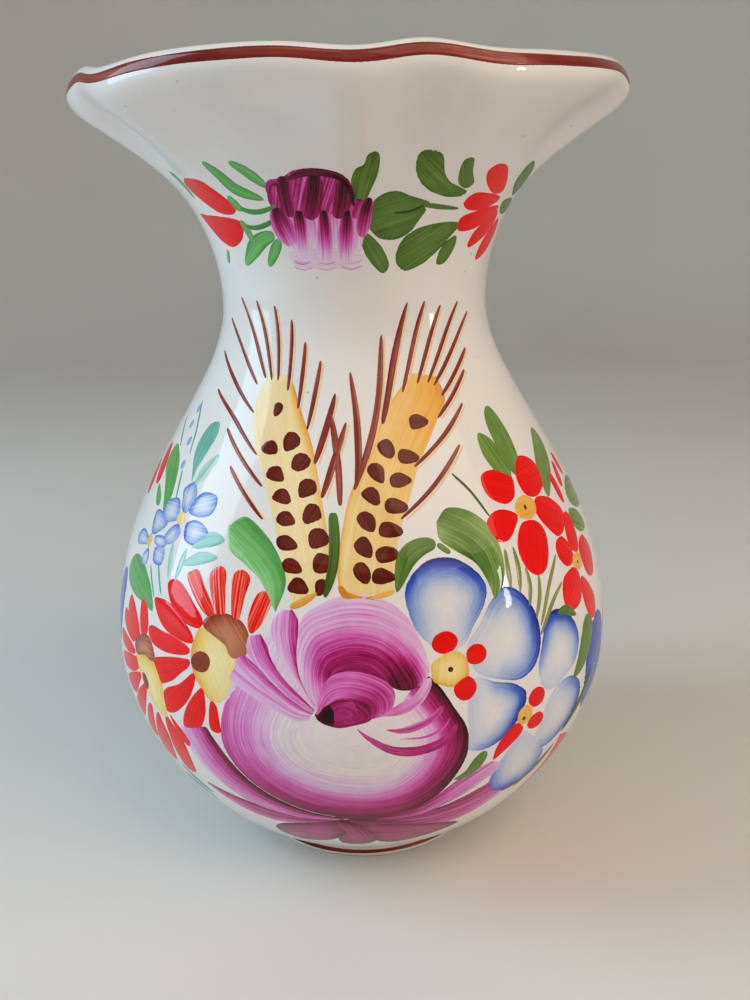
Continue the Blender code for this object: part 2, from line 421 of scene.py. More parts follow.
def bulge(x, power=6):
    """How a skin rises from its edges, where x is 1 or -1, to its middle, where x is 0."""
    return np.sqrt(np.clip(1 - x ** power, 0.0, 1.0))


def value(given, t, x):
    """A load or dryness: a number, a (start, end) pair along the stroke, or a function of t, x."""
    if callable(given):
        return given(t, x) + 0.0 * (t + x)
    if isinstance(given, tuple):
        return given[0] + (given[1] - given[0]) * t + 0.0 * x
    return given + 0.0 * (t + x)


class Motif:
    """One painted motif. Its strokes are closed skins on the glaze, gathered into one mesh."""

    def __init__(self, name, pigment, turn=0.0):
        self.name, self.pigment, self.turn, self.seed = name, pigment, turn, 0.0
        self.points, self.faces, self.brush, self.grain = [], [], [], []

    def keep(self, az, z, lift, load, dry, run, across):
        """Adds one row or grid of points and returns their numbers in the same layout."""
        spot, normal, _, _ = glaze_frame(self.turn + az, z)
        first = len(self.points)
        self.points.extend((spot + normal * np.asarray(lift)[..., None]).reshape(-1, 3))
        seed = np.full(np.shape(az), self.seed)
        self.brush.extend(np.stack([load, dry, seed * 0], -1).reshape(-1, 3))
        self.grain.extend(np.stack([run, across, seed], -1).reshape(-1, 3))
        return first + np.arange(np.size(az)).reshape(np.shape(az))

    def grid(self, az, z, x, load, dry, layer):
        """A skin over a grid of places: rows run along the stroke, columns go across it."""
        self.seed = float(DICE.uniform(*SEEDS))
        spot = on_glaze(az, z)
        middle = spot[:, spot.shape[1] // 2]
        run = np.concatenate([[0.0], np.cumsum(np.linalg.norm(np.diff(middle, axis=0), axis=1))])
        t = (run / run[-1])[:, None]
        half = np.linalg.norm(spot[:, -1] - spot[:, 0], axis=1)[:, None] / 2
        end = np.minimum(run, run[-1] - run)[:, None]
        rise = np.sqrt(np.clip(end / END_RISE, 0.0, 1.0)) * bulge(x)
        lift = SINK + (CROWN + LAYER * layer - SINK) * rise
        flat = np.zeros_like(az)
        top = self.keep(az, z, lift, value(load, t, x), value(dry, t, x), run[:, None] + flat,
                        half * x + flat)
        zero = np.zeros(len(az))
        keel = self.keep(az.mean(axis=1), z.mean(axis=1), KEEL + zero, zero, zero, run, zero)
        loops = [[*row, under] for row, under in zip(top, keel)]
        faces = []
        for low, high in zip(loops, loops[1:]):
            for j in range(len(low)):
                k = (j + 1) % len(low)
                faces.append([low[j], high[j], high[k], low[k]])
        self.take(faces + [loops[0], loops[-1][::-1]])

    def take(self, faces):
        """Keeps the faces, turned over if the first one looks into the pot."""
        p = [np.array(self.points[v]) for v in faces[0][:3]]
        normal = np.cross(p[1] - p[0], p[2] - p[0])
        outward = np.array([p[0][0], p[0][1], 0.0])
        flip = float(normal @ outward) < 0
        for face in faces:
            face = [int(v) for v in face]
            self.faces.append(face[::-1] if flip else face)

    def ribbon(self, one, two, load=0.6, dry=0.1, layer=0, rows=40, columns=14):
        """Fills between two edges. x is -1 on the first and 1 on the second."""
        at = eased(rows)
        a, _ = along(one, at)
        b, _ = along(two, at)
        x = brush_width(columns)
        u = (x + 1) / 2
        az = a[:, :1] * (1 - u) + b[:, :1] * u
        z = a[:, 1:] * (1 - u) + b[:, 1:] * u
        self.grid(az, z, x, load, dry, layer)

    def stroke(self, path, width, shape=COMMA, load=0.6, dry=0.08, layer=1, columns=6):
        """One touch of a brush along a path.

        shape gives the powers by which its width swells from its start and dies at its end.
        """
        rows = int(np.clip(8 + 2.2 * width + len(path) * 2, *STROKE_ROWS))
        at = eased(rows)
        mid, _ = along(path, at)
        _, _, per_degree, per_mm = glaze_frame(mid[:, 0], mid[:, 1])
        way = np.stack([np.gradient(mid[:, 0]) * per_degree, np.gradient(mid[:, 1]) * per_mm], -1)
        way /= np.linalg.norm(way, axis=1, keepdims=True)
        a, b = shape
        peak = a / (a + b)
        swell = at ** a * (1 - at) ** b / (peak ** a * (1 - peak) ** b)
        waver = 1 + WAVER * np.sin(at * DICE.uniform(5, 11) + DICE.uniform(0, 6))
        half = 0.5 * np.maximum(width * swell * waver, THINNEST)[:, None]
        x = brush_width(columns)
        az = mid[:, :1] - (way[:, 1] / per_degree)[:, None] * half * x
        z = mid[:, 1:] + (way[:, 0] / per_mm)[:, None] * half * x
        self.grid(az, z, x, load, dry, layer)

    def blot(self, outline, centre=None, load=0.6, dry=0.05, layer=1, around=40, rings=6,
             lean=None):
        """Fills a closed outline. In load(t, x), t goes round from 0 to 1 and x goes out to 1.

        The brush hairs run round with the outline, or straight: at an angle of lean degrees, or
        along the shape's greatest length when lean is LONG.
        """
        self.seed = float(DICE.uniform(*SEEDS))
        edge, length = along(outline, np.linspace(0.0, 1.0, around, endpoint=False), closed=True)
        mid = np.array(centre, float) if centre else edge.mean(axis=0)
        x = np.sin(np.linspace(0.0, math.pi / 2, rings + 1))[1:][:, None]
        t = np.linspace(0.0, 1.0, around, endpoint=False)[None, :]
        az = mid[0] + (edge[:, 0] - mid[0]) * x
        z = mid[1] + (edge[:, 1] - mid[1]) * x
        flat = np.zeros_like(az)
        crown = CROWN + LAYER * layer
        lift = SINK + (crown - SINK) * bulge(x) + flat
        run, across = t * length * HAIR_ROUND + flat, x * length / ROUND_TRIP + flat
        if lean is not None:
            _, _, per_degree, per_mm = glaze_frame(mid[:1], mid[1:])
            u, v = (az - mid[0]) * per_degree[0], (z - mid[1]) * per_mm[0]
            angle = np.radians(lean) if lean != LONG else 0.5 * math.atan2(
                2 * np.mean(u[-1] * v[-1]), np.mean(u[-1] ** 2) - np.mean(v[-1] ** 2))
            run = u * np.cos(angle) + v * np.sin(angle)
            across = v * np.cos(angle) - u * np.sin(angle)
        top = self.keep(az, z, lift, value(load, t, x) + flat, value(dry, t, x) + flat,
                        run, across)
        none = np.zeros(1)
        begin = value(load, none, none), value(dry, none, none)
        hub = self.keep(mid[:1], mid[1:], none + crown, *begin, none, none)[0]
        keel = self.keep(mid[:1], mid[1:], none + KEEL, *begin, none, none)[0]
        faces = []
        for j in range(around):
            k = (j + 1) % around
            faces.append([hub, top[0][j], top[0][k]])
            for low, high in zip(top, top[1:]):
                faces.append([low[j], high[j], high[k], low[k]])
            faces.append([top[-1][j], keel, top[-1][k]])
        self.take(faces)

    def oval(self, az, z, width, height, lean=0.0, **how):
        """A round or oval dab, width and height in mm, leaning by degrees."""
        _, _, per_degree, per_mm = glaze_frame(np.array([az]), np.array([z]))
        s, c = math.sin(math.radians(lean)), math.cos(math.radians(lean))
        ring = []
        for k in range(OVAL_POINTS):
            angle = math.tau * k / OVAL_POINTS
            u, v = width / 2 * math.cos(angle), height / 2 * math.sin(angle)
            wobble = 1 + DICE.uniform(-OVAL_WOBBLE, OVAL_WOBBLE)
            ring.append((az + wobble * (u * c - v * s) / per_degree[0],
                         z + wobble * (u * s + v * c) / per_mm[0]))
        self.blot(ring, around=24, rings=4, lean=lean + OVAL_HAIRS, **how)

    def done(self):
        """Makes the motif's mesh, which is glaze colour on the pot's glaze."""
        made = mesh_object(self.name, self.points, self.faces, MATERIALS[self.pigment])
        store(made, brush=self.brush, grain=self.grain)
        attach(made, "root")


# ---------------------------------------------------------------- the pot, its foot and lines

POT_COLUMNS = 288
RING_COLUMNS = 240
INNER_START = 1.5         # the inner wall starts this far over the floor
LINE_COLUMNS = 7          # points across a painted line
LINE_CROWN = CROWN + 0.03
LINE_LOAD = (0.55, 0.16)  # a painted line's middle load, and how much it comes and goes
LINE_DRY = 0.22
LINE_GRAIN = (1.1, 2.6)   # mm for a degree round the pot, and for the line's whole width


def inner_line():
    """The inner wall from the lip down to the floor: the outer line moved in by the wall."""
    line = outer_line()[:-3]
    slope = np.gradient(line, axis=0)
    slope /= np.linalg.norm(slope, axis=1, keepdims=True)
    inside = line + WALL * np.stack([-slope[:, 1], slope[:, 0]], -1)
    inside = inside[(inside[:, 1] > INNER_FLOOR + INNER_START) & (inside[:, 0] > 0)]
    return inside[::-2]


def pot():
    """The glazed body, from the middle of its underside round the lip to the middle inside."""
    base = [(0.0, UNDERSIDE), (FOOT_INNER, UNDERSIDE), (FOOT_INNER + 0.8, BODY_START[1])]
    bottom = [(30.0, INNER_FLOOR + 0.25), (24.0, INNER_FLOOR), (0.0, INNER_FLOOR)]
    line = np.vstack([base, outer_line(), lip_line(0.22, math.pi, 13), inner_line(), bottom])
    made = turned("pot", line, POT_COLUMNS, WHITE)
    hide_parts("vase_body")
    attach(made, "root")


def foot():
    """The ring foot, with both of its lower edges rounded."""
    angles = [math.pi / 2 * k / 3 for k in range(4)]
    section = [(FOOT_INNER + FOOT_ROUND, 0.0), (FOOT_OUTER - FOOT_ROUND, 0.0)]
    section += [(FOOT_OUTER - FOOT_ROUND + FOOT_ROUND * math.sin(a),
                 FOOT_ROUND * (1 - math.cos(a))) for a in angles[1:]]
    section += [(FOOT_OUTER, FOOT_MIDDLE), (FOOT_OUTER, FOOT_TOP),
                (FOOT_INNER, FOOT_TOP), (FOOT_INNER, FOOT_MIDDLE)]
    section += [(FOOT_INNER + FOOT_ROUND * (1 - math.cos(a)),
                 FOOT_ROUND * (1 - math.sin(a))) for a in angles[:3]]
    made = turned("foot_ring_glazed", section, RING_COLUMNS, WHITE, closed=True)
    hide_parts("foot_ring")
    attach(made, "root")


def wander(az, waves):
    """An uneven wave round the pot, from waves of those counts at random phases."""
    return sum(np.sin(np.radians(az) * k + DICE.uniform(0, 6)) / k ** 0.5 for k in waves)


def painted_ring(name, low, high, surface, node, sway):
    """A brushed line all the way round. surface(az, z) gives points and normals on the pot."""
    az = np.arange(0.0, 360.0, 1.0)[:, None]
    v = np.linspace(0.0, 1.0, LINE_COLUMNS)[None, :]
    bend = wander(az, (2, 5, 11, 23))
    thick = wander(az, (3, 7, 16))
    bottom = low + sway * (0.5 * bend - 0.6 * thick)
    top = high + sway * (0.5 * bend + 0.6 * thick)
    level = bottom + (top - bottom) * v
    spot, normal = surface(az + 0 * v, level)
    lift = SINK + (LINE_CROWN - SINK) * bulge(2 * v - 1, 4)
    points = spot + normal * (lift + 0 * az)[..., None]
    keel_spot, keel_normal = surface(az, (low + high) / 2 + 0 * az)
    points = np.concatenate([points, keel_spot + keel_normal * KEEL], axis=1)
    count, across = points.shape[:2]
    faces = []
    for i in range(count):
        n = (i + 1) % count
        for j in range(across):
            k = (j + 1) % across
            faces.append([i * across + j, n * across + j, n * across + k, i * across + k])
    made = mesh_object(name, points.reshape(-1, 3), faces, MATERIALS["rust"])
    brush = np.zeros((count, across, 3))
    come_and_go = LINE_LOAD[1] * np.cos(np.radians(az) * 7) * np.sin(np.radians(az) * 3)
    brush[..., 0] = LINE_LOAD[0] + come_and_go
    brush[..., 1] = LINE_DRY
    grain = np.zeros((count, across, 3))
    grain[..., 0] = az * LINE_GRAIN[0]
    grain[:, :-1, 1] = v * LINE_GRAIN[1]
    store(made, brush=brush, grain=grain)
    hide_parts(node)
    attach(made, "root")


def foot_surface(az, z):
    """Points on the foot's upright side, and their normals."""
    angle = np.radians(az)
    normal = np.stack([np.sin(angle), -np.cos(angle), 0 * angle], -1)
    spot = normal * FOOT_OUTER
    spot[..., 2] = z
    return spot, normal


def painted_lines():
    """The red-brown lines round the lip and the foot."""
    painted_ring("rim_line_painted", 195.8, 198.1, lambda az, z: glaze_frame(az, z)[:2],
                 "rim_band", 0.22)
    painted_ring("foot_line_painted", 1.1, 2.4, foot_surface, "foot_band", 0.1)


# ---------------------------------------------------------------- how the brush is loaded

GROWN = 1.06              # filled makes each blot this much larger than its outline


def filled(name, pigment, outlines, turn=0.0, **how):
    """A motif with one blot per outline, brushed along each one's length."""
    m = Motif(name, pigment, turn)
    how.setdefault("lean", LONG)
    for outline in outlines:
        middle = np.mean(outline, axis=0)
        m.blot(middle + (np.array(outline) - middle) * GROWN, **how)
    return m


def rimmed(base, deep, at, spread, inner=5.0):
    """A blot's load: a pale base, and a deep edge around t = at that fades over spread."""
    def load(t, x):
        away = np.abs((t - at + 0.5) % 1.0 - 0.5)
        edge = np.clip(1 - away / spread, 0, 1) ** 0.7
        return base * (0.25 + 0.75 * x ** 1.5) + (deep - base) * edge * x ** inner
    return load


def sided(left, right, power=1.0):
    """A stroke's load from its first edge to its second."""
    return lambda t, x: left + (right - left) * ((x + 1) / 2) ** power


def edged(middle, more, power=4):
    """A load that changes by more from the middle of a blot or stroke to its edge."""
    return lambda t, x: middle + more * x ** power


def melting(dark, end, ground):
    """A load from dark to end along a stroke, which melts into the ground at both sides."""
    return lambda t, x: ground + (dark + (end - dark) * t - ground) * (1 - x * x)


# ---------------------------------------------------------------- the peony

def peony_bowl():
    """The peony's cup: a deep rim round a nearly white middle."""
    m = Motif("peony_bowl", "magenta")
    outer = [(-26, 68), (-29, 60), (-30, 52), (-28.5, 46), (-25.5, 41), (-20.5, 36.5),
             (-14, 33), (-7, 31.2), (0, 30.6), (6, 31), (11, 32.8), (15, 36.3), (18.5, 42),
             (20.7, 49), (20.3, 56), (17.5, 62), (14.7, 67.5), (11.5, 71.5)]
    inner = [(-12, 62), (-13, 57), (-10.5, 52), (-6, 49), (0, 48), (5, 49.5), (8, 52.5),
             (9, 56), (8.5, 60), (6, 63)]

    def load(t, x):
        edge = (1 - x) / 2
        left = np.clip(1 - t / 0.42, 0, 1)
        right = np.clip((t - 0.55) / 0.28, 0, 1)
        low = np.clip(1 - left - right, 0, 1)
        colour = left * (0.14 + 0.2 * edge) + low * (0.1 + 0.78 * edge ** 1.3)
        colour = colour + right * (0.28 + 0.72 * edge ** 1.5)
        return colour * (0.12 + 0.88 * np.clip(edge * 1.7, 0, 1))

    m.ribbon(outer, inner, load=load, dry=0.17, layer=2, rows=110, columns=26)
    m.blot([(-12, 62), (-13, 57), (-10.5, 52), (-6, 49), (0, 48), (5, 49.5), (8, 52.5), (9, 56),
            (8.5, 60), (6, 63), (-3, 63.5)], centre=(-2, 56), load=0.03, dry=0.03, layer=2)
    m.done()


def peony_hood():
    """The large petal over the bud, deepest along its lower side."""
    m = Motif("peony_hood", "magenta")
    outer = [(-9.5, 63.5), (-11.7, 69), (-13, 75.5), (-13, 80.5), (-11.6, 84.5), (-8, 87),
             (-4, 88.5), (1.5, 88.5), (6, 86.6), (9.5, 82.7), (11.5, 78), (12.6, 74),
             (12.7, 70.8), (11, 67.6)]
    inner = [(-8.3, 63.3), (-8, 67.5), (-6.8, 70.3), (-4.8, 71.8), (-1.5, 72), (1.5, 71.2),
             (4, 69.7), (5.5, 68.3), (7, 67.6), (8.7, 67.4)]

    def load(t, x):
        down = (1 + x) / 2
        arm = np.clip((t - 0.14) / 0.16, 0, 1)
        end = np.clip((t - 0.7) / 0.2, 0, 1)
        deep = np.clip((down - 0.3 + 0.22 * end) / 0.45, 0, 1) ** 1.2
        return 0.13 + 0.2 * down + arm * (0.32 + 0.16 * end) * deep + 0.08 * arm

    m.ribbon(outer, inner, load=load, dry=0.2, layer=3, rows=80, columns=24)
    m.done()


def peony_bud():
    """The smaller petal inside the hood."""
    m = Motif("peony_bud", "magenta")
    outer = [(-9.3, 62), (-8.7, 66.5), (-7.3, 70.2), (-5, 72.2), (-1.5, 72.5), (1.5, 71.6),
             (4.2, 70), (5.8, 67.5), (5.6, 64.5), (4, 61.8)]
    inner = [(-8.6, 61.5), (-7.5, 63.5), (-5.5, 64.6), (-3, 64.8), (-0.8, 64), (0.6, 62.6),
             (1, 61)]

    def load(t, x):
        down = (x + 1) / 2
        right = np.clip((t - 0.45) / 0.3, 0, 1)
        last = np.clip((t - 0.88) / 0.12, 0, 1)
        return 0.36 + 0.16 * down + right * (0.1 + 0.16 * down) - 0.16 * last

    m.ribbon(outer, inner, load=load, dry=0.2, layer=4, rows=60, columns=16)
    m.done()


def peony_heart():
    """The heart at the bud's lower left, with its dark corner."""
    m = Motif("peony_heart", "magenta")
    m.blot([(-9.7, 62), (-8.3, 64.3), (-6.5, 66), (-4, 66.8), (-1.7, 66), (0.3, 64.2),
            (1.8, 62), (1, 60.6), (-2, 59.6), (-5, 59), (-7.3, 59.6), (-9, 60.8)],
           load=edged(0.64, 0.2, 3), dry=0.16, layer=5, rings=8)
    m.blot([(-9.3, 61.9), (-8.2, 64), (-6.7, 65.2), (-5.6, 64), (-5.4, 62), (-5.6, 59.7),
            (-7.4, 59.8), (-8.9, 60.8)], load=edged(1.0, -0.14, 3), layer=6, lean=80)
    m.stroke([(-4.6, 64.8), (-2.6, 64.8), (-1.2, 63)], 1.6, LEAF, load=0.58, dry=0.3, layer=6)
    m.stroke([(-4.4, 61.2), (-3.2, 60.6), (-1.5, 61)], 1.0, LEAF, load=0.6, dry=0.3, layer=6)
    m.done()


def peony_left_petals():
    """Four petals fanned out to the left of the heart, on a pale wash."""
    m = Motif("peony_left_petals", "magenta")
    m.blot([(-9, 64), (-12, 72), (-12.3, 83.5), (-15.5, 84.5), (-20, 80), (-24.5, 76.5),
            (-27.5, 71.5), (-29.3, 66.5), (-27, 60), (-20, 59), (-12, 60.5)],
           load=edged(0.14, -0.05), dry=0.14, layer=1, lean=60)
    m.ribbon([(-10.5, 61), (-13.3, 60.5), (-17.5, 62.3), (-22, 64.5), (-28, 68.3)],
             [(-10, 61.8), (-13.5, 62.6), (-18, 65.5), (-22.5, 68.2), (-26.5, 71)],
             load=sided(0.14, 0.42, 1.6), dry=0.2, layer=3)
    m.ribbon([(-10.3, 61.7), (-13.5, 62.5), (-18, 65.2), (-22.5, 68), (-26, 70.8), (-26.5, 73)],
             [(-9.8, 62.6), (-13.2, 64.8), (-17.5, 68.6), (-20.8, 72), (-24.3, 74.6)],
             load=sided(0.2, 0.6, 1.5), dry=0.22, layer=4)
    m.ribbon([(-10, 62.4), (-15, 66), (-19, 70), (-22.2, 73), (-23.8, 75.8), (-23.4, 78.6)],
             [(-9.5, 63.3), (-12, 66.3), (-15.6, 70.3), (-18, 74), (-19, 77), (-20.7, 79.4)],
             load=sided(0.24, 0.66, 1.6), dry=0.22, layer=5)
    m.ribbon([(-9.6, 63.5), (-12.2, 69), (-15.2, 73), (-17.2, 76.5), (-18.4, 79.7),
              (-18.3, 82.7), (-16.6, 85)],
             [(-9, 64.3), (-10.8, 66.8), (-12.4, 71), (-13, 75.5), (-12.8, 80), (-12.9, 83),
              (-14.2, 85.2)],
             load=lambda t, x: 0.16 + 0.1 * t + 0.46 * ((x + 1) / 2) ** 2.4, dry=0.22, layer=6)
    m.done()


def peony_right_strokes():
    """The loose strokes over the bowl's right side."""
    m = Motif("peony_right_strokes", "magenta")
    for path, width, load in (
            ([(18, 58), (16.8, 55.6), (14, 53.3), (9.5, 52.3), (5, 53.3), (1, 56.3), (-1.8, 59.3)],
             2.9, (0.66, 0.54)),
            ([(15.3, 63), (13.6, 60.8), (10.8, 59), (7, 58), (3.8, 58.6)], 2.2, (0.5, 0.46)),
            ([(12.8, 69.8), (11.6, 67.3), (9.7, 64.7), (6.3, 63), (2.3, 62)], 3.2, (0.2, 0.4)),
            ([(16.8, 60), (15, 57.3), (11.5, 55.8), (6.5, 56)], 0.8, (0.55, 0.4))):
        m.stroke(path, width, (0.5, 0.85), load=load, dry=0.24, layer=4, columns=8)
    m.done()


def peony_outer_petals():
    """The petals that hold the bowl at its left and below."""
    m = Motif("peony_outer_petals", "magenta")
    # The deep load of these petals is partly their own magenta and partly painted shade, made
    # deeper for the shade low on the belly.
    m.ribbon([(-41, 33), (-34, 28), (-25, 25.6), (-15.5, 26.8), (-6.5, 29.6)],
             [(-40.5, 33.8), (-32, 32.6), (-22.5, 31.3), (-14.5, 30.8), (-6, 30.6)],
             load=lambda t, x: 0.4 + 0.42 * ((x + 1) / 2) ** 2 + 0.14 * t, dry=0.24, layer=0)
    m.ribbon([(-41.7, 51.5), (-40.5, 46), (-38, 40.5), (-34, 36), (-29, 32.3), (-22, 30.2),
              (-15, 29.4), (-6.5, 30)],
             [(-33.5, 54.5), (-31, 50), (-28.5, 45.5), (-25.3, 40.8), (-20.3, 36.4),
              (-14, 33), (-7.5, 31.2), (-5.5, 30.9)],
             load=lambda t, x: 0.2 + 0.2 * t + 0.62 * ((x + 1) / 2) ** 1.8, dry=0.18, layer=1,
             rows=60)
    m.done()


def peony_lower_petals():
    """The petals that hold the bowl at its right, and the three under it."""
    m = Motif("peony_lower_petals", "magenta")
    # The petals under the bowl are deep partly by their own dark magenta and partly by painted
    # shade, where the belly turns under towards the foot.
    m.blot([(-14, 31), (-5, 31.5), (5, 31.5), (14, 32), (9, 28), (0, 26.5), (-9, 27.5)], load=0.85,
           dry=0.2, layer=-1, lean=0)
    m.ribbon([(-4.5, 29), (3, 26.6), (14.5, 23.4), (25, 23.6), (35, 29)],
             [(-4, 30.8), (4, 30.6), (14.5, 31.4), (25, 35.3), (34, 40)],
             load=lambda t, x: 0.8 - 0.36 * t + 0.14 * x, dry=0.3, layer=0, rows=50)
    m.ribbon([(2, 30), (11, 30), (18, 32.6), (25, 37), (31.5, 42)],
             [(2, 31), (9.5, 32.6), (15, 36.8), (20.5, 42), (27, 44.5)],
             load=lambda t, x: 0.72 - 0.46 * t + 0.1 * x, dry=0.26, layer=1, rows=50)
    m.blot([(-26, 21), (-22.5, 24.6), (-16, 27), (-8, 29.6), (-5, 27), (-6.3, 22), (-10, 18.5),
            (-15, 16.6), (-21, 15.6), (-25, 17.4)], load=edged(0.64, 0.34),
           dry=0.24, layer=2, lean=12, rings=10)
    m.blot([(-4.5, 29.8), (4, 28.2), (14, 25.8), (26, 21), (19, 17.6), (8, 15.6), (2, 18.5),
            (-0.5, 24)], load=edged(0.64, 0.34), dry=0.26, layer=2, lean=-8,
           rings=10)
    m.blot([(-8.8, 29.6), (-3, 28.8), (0.7, 24.7), (2.8, 19), (-1, 15.6), (-7, 16), (-8, 20),
            (-6.2, 24.5)], load=edged(0.68, 0.3), dry=0.2, layer=3, lean=-75,
           rings=10)
    m.done()


# ---------------------------------------------------------------- the wheat

def wheat_ears():
    """The two ears, with the deeper strokes under them."""
    m = Motif("wheat_ear_left", "ochre")
    m.ribbon([(-14.8, 86.8), (-16.2, 92), (-19, 98.5), (-21.5, 104), (-25, 110), (-29.6, 115.5),
              (-34, 121), (-35.6, 127), (-33, 132)],
             [(-9, 89), (-6.6, 93), (-7.2, 100), (-8.5, 105.5), (-10.3, 111.5), (-12.8, 118),
              (-16.5, 123.5), (-20.3, 128.5), (-24, 132.8)],
             load=lambda t, x: 0.16 + 0.6 * np.clip((x - 0.6) / 0.4, 0, 1) * (0.25 + t),
             dry=0.14, layer=1, rows=60)
    m.stroke([(-8.5, 89.5), (-11.5, 87.3), (-14.8, 85.6)], 1.9, TAIL, load=0.75, dry=0.15)
    m.done()
    m = Motif("wheat_ear_right", "ochre")
    m.ribbon([(-4.7, 88.5), (-5.2, 94), (-4.5, 100), (-3.3, 106), (-1.3, 111), (2, 116),
              (5.7, 121), (10.5, 126.5), (16, 130.5), (20.5, 132.7)],
             [(6.7, 88.5), (7.2, 93), (8.3, 98), (10.3, 103), (12.7, 107.5), (16, 113),
              (20.7, 118), (25.7, 122.5), (30.5, 126.5), (29.5, 131.5)],
             load=lambda t, x: 0.26 + 0.44 * t ** 1.3 * (x + 1.3) / 2.3
             + 0.4 * np.clip((-x - 0.84) / 0.16, 0, 1) + 0.1 * t, dry=0.16, layer=1, rows=60)
    m.stroke([(-4.7, 90.5), (-2.5, 88), (1, 87.2), (3, 88)], 2.4, ROUND, load=0.8, dry=0.3)
    m.stroke([(1, 87.5), (4.5, 88.4), (6.8, 89)], 1.5, TAIL, load=0.6, dry=0.3)
    m.done()


def drop(az, z, length, width, point):
    """A seed's outline, round at one end, with its point in the direction point, in degrees."""
    _, _, per_degree, per_mm = glaze_frame(np.array([az]), np.array([z]))
    c, s = math.cos(math.radians(point)), math.sin(math.radians(point))
    ring = []
    for u, v in ((-0.5, 0.04), (-0.38, 0.42), (-0.05, 0.56), (0.3, 0.42), (0.54, 0.12),
                 (0.44, -0.16), (0.05, -0.4), (-0.36, -0.38)):
        u = u * length * (1 + DICE.uniform(-0.1, 0.1))
        v = v * width * (1 + DICE.uniform(-0.12, 0.12))
        ring.append((az + (u * c - v * s) / per_degree[0], z + (u * s + v * c) / per_mm[0]))
    return ring


def wheat_grains():
    """Rows of seeds on both ears."""
    m = Motif("wheat_grains", "brown")

    def seeds(places, point, length, width):
        for az, z in places:
            lean = point + DICE.uniform(-8, 8)
            m.blot(drop(az, z, length, width, lean), load=edged(0.66, 0.14),
                   dry=0.14, layer=2, around=26, rings=4, lean=lean)

    seeds([(-25.9, 117), (-22.3, 111.9), (-19.4, 107.4), (-17.8, 103.2), (-16.6, 98.4),
           (-15, 93.8), (-13.2, 89.8)], -25, 5.5, 4.2)
    seeds([(-20, 119), (-16.3, 114.8), (-13.8, 109.8), (-12, 104.8), (-10.2, 99.8), (-8.8, 94.8)],
          -118, 5.4, 5.2)
    seeds([(-26.5, 125.3), (-8.7, 90.2)], -100, 4.0, 3.4)
    seeds([(7.7, 117.3), (4.4, 112.5), (2.9, 108), (1.3, 103), (0.5, 97.9), (0, 92.8)],
          -62, 5.9, 4.6)
    seeds([(18.7, 122), (13.7, 115.3), (10.5, 110.8), (8.6, 105.8), (6.5, 101), (5.5, 96.2),
           (4.3, 92)], -8, 5.7, 4.5)
    m.done()


THIN_AWNS = [
    [(-63, 144), (-50, 137.5), (-37, 130)], [(-53, 149.5), (-34, 131.5)], [(-43, 149), (-31, 131)],
    [(-33.5, 148), (-28.5, 131)], [(-25.7, 145), (-24, 129)], [(-19.5, 140), (-19.3, 125.5)],
    [(-13, 136), (-15.3, 121.3)], [(-64.5, 136), (-50, 130.5), (-35, 124)],
    [(-58, 127.5), (-43, 122.5), (-29.5, 115.5)], [(-44, 120), (-25.5, 109.3)],
    [(-37.5, 112.5), (-23.5, 102.8)],
    [(28.7, 148.5), (15.3, 128.5)], [(36.5, 147.3), (21, 130)], [(46.5, 147.7), (25, 130)],
    [(53.3, 145), (27, 129.3)], [(47.5, 136.7), (29, 127)], [(43, 132), (25.5, 122.6)],
    [(36.7, 125), (26, 119), (14.8, 113.3)], [(30.3, 116.7), (19, 109), (9.5, 103.2)],
]
STOUT_AWNS = [
    [(-7.2, 129), (-9.5, 121.5), (-12, 114.5)], [(-3.5, 123), (-6.3, 116), (-9.3, 107.8)],
    [(-9, 126), (-6.8, 120), (-5.3, 113), (-4.7, 106.3)],
    [(-2.2, 133.5), (-0.4, 125), (0, 116), (-0.7, 109.8)],
    [(10, 141.5), (8, 131), (4.5, 121), (-1.3, 109.3)], [(21, 148.5), (13.8, 135.5), (7.5, 122.3)],
]


GLINT_SHIFT = (1.15, -0.35)         # how far a glint lies from its awn, in degrees and mm


def wheat_awns():
    """The beards of both ears, and a paler line beside most of their hairs."""
    m = Motif("wheat_awns", "rust")
    for path in THIN_AWNS:
        m.stroke(path, 1.15, LINER, load=(0.4, 0.62), dry=0.22, layer=3, columns=4)
    for path in STOUT_AWNS:
        m.stroke(path, 1.75, (0.4, 0.3), load=(0.45, 0.5), dry=0.3, layer=3, columns=4)
    m.done()
    m = Motif("wheat_awn_glints", "apricot")
    for path in THIN_AWNS + STOUT_AWNS[:2] + STOUT_AWNS[4:]:
        shifted = [(az + GLINT_SHIFT[0], z + GLINT_SHIFT[1]) for az, z in path]
        m.stroke(shifted, 0.75, LINER, load=0.3, dry=0.3, layer=0, columns=4)
    m.done()


# ---------------------------------------------------------------- leaves around the bouquet

